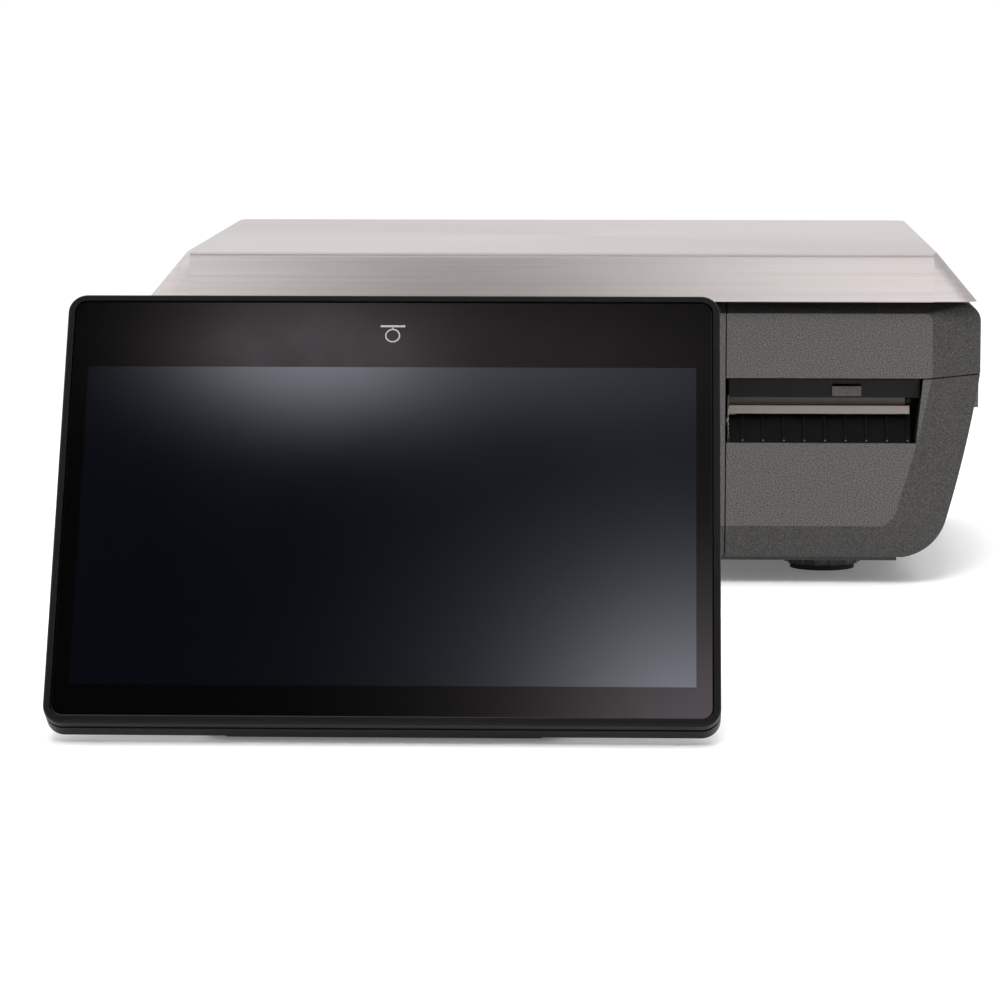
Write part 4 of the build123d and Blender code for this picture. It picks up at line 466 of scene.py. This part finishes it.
def finished_piece(name, mesh, materials, body, smooth=35.0):
    """Turn a bmesh into a piece that rides on a body."""
    data = bpy.data.meshes.new(name)
    mesh.to_mesh(data)
    mesh.free()
    piece = bpy.data.objects.new(name, data)
    scene.collection.objects.link(piece)
    for material in materials:
        data.materials.append(material)
    data.shade_smooth()
    data.set_sharp_from_angle(angle=math.radians(smooth))
    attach(piece, body)
    return piece


def add_block(made, size, place=Matrix()):
    """Add a box of this size to a bmesh, at a place."""
    bmesh.ops.create_cube(made, size=1, matrix=place @ Matrix.Diagonal((*size, 1)))


def round_edges(made, edges, radius, segments):
    """Bevel these edges round."""
    bmesh.ops.bevel(made, geom=edges, offset=radius, segments=segments, profile=0.5,
                    affect="EDGES", material=-1, clamp_overlap=True)


def edges_along(made, axis):
    """Edges that run along one axis, 0 for X, 1 for Y and 2 for Z."""
    found = []
    for item in made.edges:
        run = item.verts[0].co - item.verts[1].co
        if abs(run[axis]) > 0.99 * run.length:
            found.append(item)
    return found


border_print = new_finish("black_border_print", (0.001, 0.0009, 0.001), 0.06,
                          Specular_IOR_Level=0.5, IOR=1.5, Specular_Tint=(1.0, 0.9, 0.98, 1))
polish(border_print, grain(border_print, 30), 0.05, 0.08)
picture = new_finish("switched_off_picture", (0.002, 0.0025, 0.004), 0.05,
                     Specular_IOR_Level=1.0, IOR=1.6, Specular_Tint=(0.84, 0.88, 1.0, 1))
tint(picture, grain(picture, 5, detail=1.0), (0.0012, 0.0015, 0.0028), (0.0017, 0.0021, 0.0035), 0.3, 0.7)
polish(picture, grain(picture, 22, detail=1.0), 0.045, 0.055)

glass = bmesh.new()
add_block(glass, (GLASS_W, GLASS_T, GLASS_H))
round_edges(glass, edges_along(glass, 1), GLASS_CORNER, 8)
front_ring = [e for e in glass.edges if all(v.co.y < 0 for v in e.verts)]
round_edges(glass, front_ring, GLASS_EDGE, 2)
for normal, reach in (((1, 0, 0), SCREEN_W / 2), ((0, 0, 1), SCREEN_H / 2)):
    for side in (1, -1):
        cut = Vector(normal) * reach * side + Vector((0, 0, SCREEN_DROP))
        bmesh.ops.bisect_plane(glass, geom=glass.verts[:] + glass.edges[:] + glass.faces[:],
                               plane_co=cut, plane_no=normal)
for face in glass.faces:
    middle = face.calc_center_median()
    inside = abs(middle.x) < SCREEN_W / 2 and abs(middle.z - SCREEN_DROP) < SCREEN_H / 2
    face.material_index = 1 if inside and face.normal.y < -0.9 else 0
bmesh.ops.transform(glass, matrix=GLASS_PLACE, verts=glass.verts)
glass_piece = finished_piece("touch_glass", glass, [border_print, picture], "console", GLASS_SMOOTH)
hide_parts("cover_glass")

# ---------------------------------------------------------------- bezel pictogram
# A plain printed mark in the middle of the border above the picture, in the pale grey of
# the silk-screened border: a pan on a short stem over a round dial. It is generic.
MARK_UP = 0.0785
MARK_T = 0.00006
MARK_RADIUS = 0.0026
MARK_LINE = 0.0006
MARK_PAN = (4 * MARK_RADIUS, MARK_T, 1.5 * MARK_LINE)
MARK_PAN_UP = 1.7 * MARK_RADIUS
MARK_STEM = (MARK_LINE, MARK_T, 0.6 * MARK_RADIUS)
MARK_STEM_UP = 1.35 * MARK_RADIUS
mark_paint = new_finish("silk_screen_grey", (0.3, 0.3, 0.31), 0.35, Specular_IOR_Level=0.4)
tint(mark_paint, grain(mark_paint, 700), (0.27, 0.27, 0.28), (0.33, 0.33, 0.34))
mark = bmesh.new()
add_block(mark, MARK_PAN, Matrix.Translation((0, 0, MARK_PAN_UP)))
add_block(mark, MARK_STEM, Matrix.Translation((0, 0, MARK_STEM_UP)))
facing_front = Matrix.Rotation(math.pi / 2, 4, "X")
ring = bmesh.ops.create_circle(mark, segments=48, radius=MARK_RADIUS, matrix=facing_front)
ring_edges = [e for e in mark.edges if all(v in ring["verts"] for v in e.verts)]
widened = bmesh.ops.extrude_edge_only(mark, edges=ring_edges)["geom"]
outer_verts = [v for v in widened if isinstance(v, bmesh.types.BMVert)]
bmesh.ops.scale(mark, vec=(1 + MARK_LINE / MARK_RADIUS,) * 3, verts=outer_verts)
ring_faces = [f for f in widened if isinstance(f, bmesh.types.BMFace)]
bmesh.ops.solidify(mark, geom=ring_faces, thickness=MARK_T)
bmesh.ops.recalc_face_normals(mark, faces=mark.faces)
MARK_PLACE = GLASS_PLACE @ Matrix.Translation((0, -GLASS_T / 2 - MARK_T / 2, MARK_UP))
bmesh.ops.transform(mark, matrix=MARK_PLACE, verts=mark.verts)
mark_piece = finished_piece("bezel_pictogram", mark, [mark_paint], "console")

# ---------------------------------------------------------------- rib toes and their painted highlights
# The rounded toe at the foot of each label rib, painted pale as a highlight where the light
# catches it. Moulded in one with the ramp, so the toes ride in the drawer.
RIB_PITCH = 0.0105
RIB_INSET = 0.0016
TOE_RADIUS = 0.0005
TOE_BACK = 0.0002            # behind the ramp's front
TOE_UP = 0.0062              # and above its foot
ramp_lo, ramp_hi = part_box("rib_guide")
# The toes' pale grey is a painted highlight.
toe_highlight_paint = new_finish("toe_painted_highlight", (0.08, 0.08, 0.08), 0.4, Specular_IOR_Level=0.5)
tint(toe_highlight_paint, grain(toe_highlight_paint, 2500), (0.05, 0.05, 0.05), (0.1, 0.1, 0.1))
toes = bmesh.new()
toe_x = ramp_hi.x - RIB_INSET
while toe_x > ramp_lo.x:
    toe_at = Matrix.Translation((toe_x, ramp_lo.y + TOE_BACK, ramp_lo.z + TOE_UP))
    bmesh.ops.create_uvsphere(toes, u_segments=12, v_segments=8, radius=TOE_RADIUS, matrix=toe_at)
    toe_x -= RIB_PITCH
toe_piece = finished_piece("rib_toe_highlights", toes, [toe_highlight_paint], "drawer")

# ---------------------------------------------------------------- jack contacts
# Eight gold-plated spring wires in each network jack, sprung down from the roof of the
# cavity towards the plug. They are soldered to the controller board below.
CONTACT_COUNT = 8
CONTACT_PITCH = 0.00102
CONTACT_W = 0.0004
CONTACT_LENGTH = 0.009
CONTACT_SLOPE = math.radians(9)
CONTACT_INSET = 0.001        # in from the cavity's middle and down from its roof
gold = new_finish("gold_plate", (0.85, 0.62, 0.25), 0.25, 1.0)
polish(gold, grain(gold, 1500, (1, 0.1, 1)), 0.18, 0.32)
contacts = bmesh.new()
for opening in frame["record"]["physics"]["openings"]:
    if opening["name"].startswith("network_jack"):
        jack_lo, jack_hi = (Vector(corner) for corner in opening["box_m"])
        jack_middle = (jack_lo + jack_hi) / 2
        for wire in range(CONTACT_COUNT):
            across = (wire - (CONTACT_COUNT - 1) / 2) * CONTACT_PITCH
            wire_at = (jack_middle.x + across, jack_middle.y - CONTACT_INSET, jack_hi.z - CONTACT_INSET)
            wire_place = Matrix.Translation(wire_at) @ Matrix.Rotation(CONTACT_SLOPE, 4, "X")
            add_block(contacts, (CONTACT_W, CONTACT_LENGTH, CONTACT_W), wire_place)
round_edges(contacts, contacts.edges[:], CONTACT_W * 0.2, 1)
contact_piece = finished_piece("jack_contacts", contacts, [gold], "base")
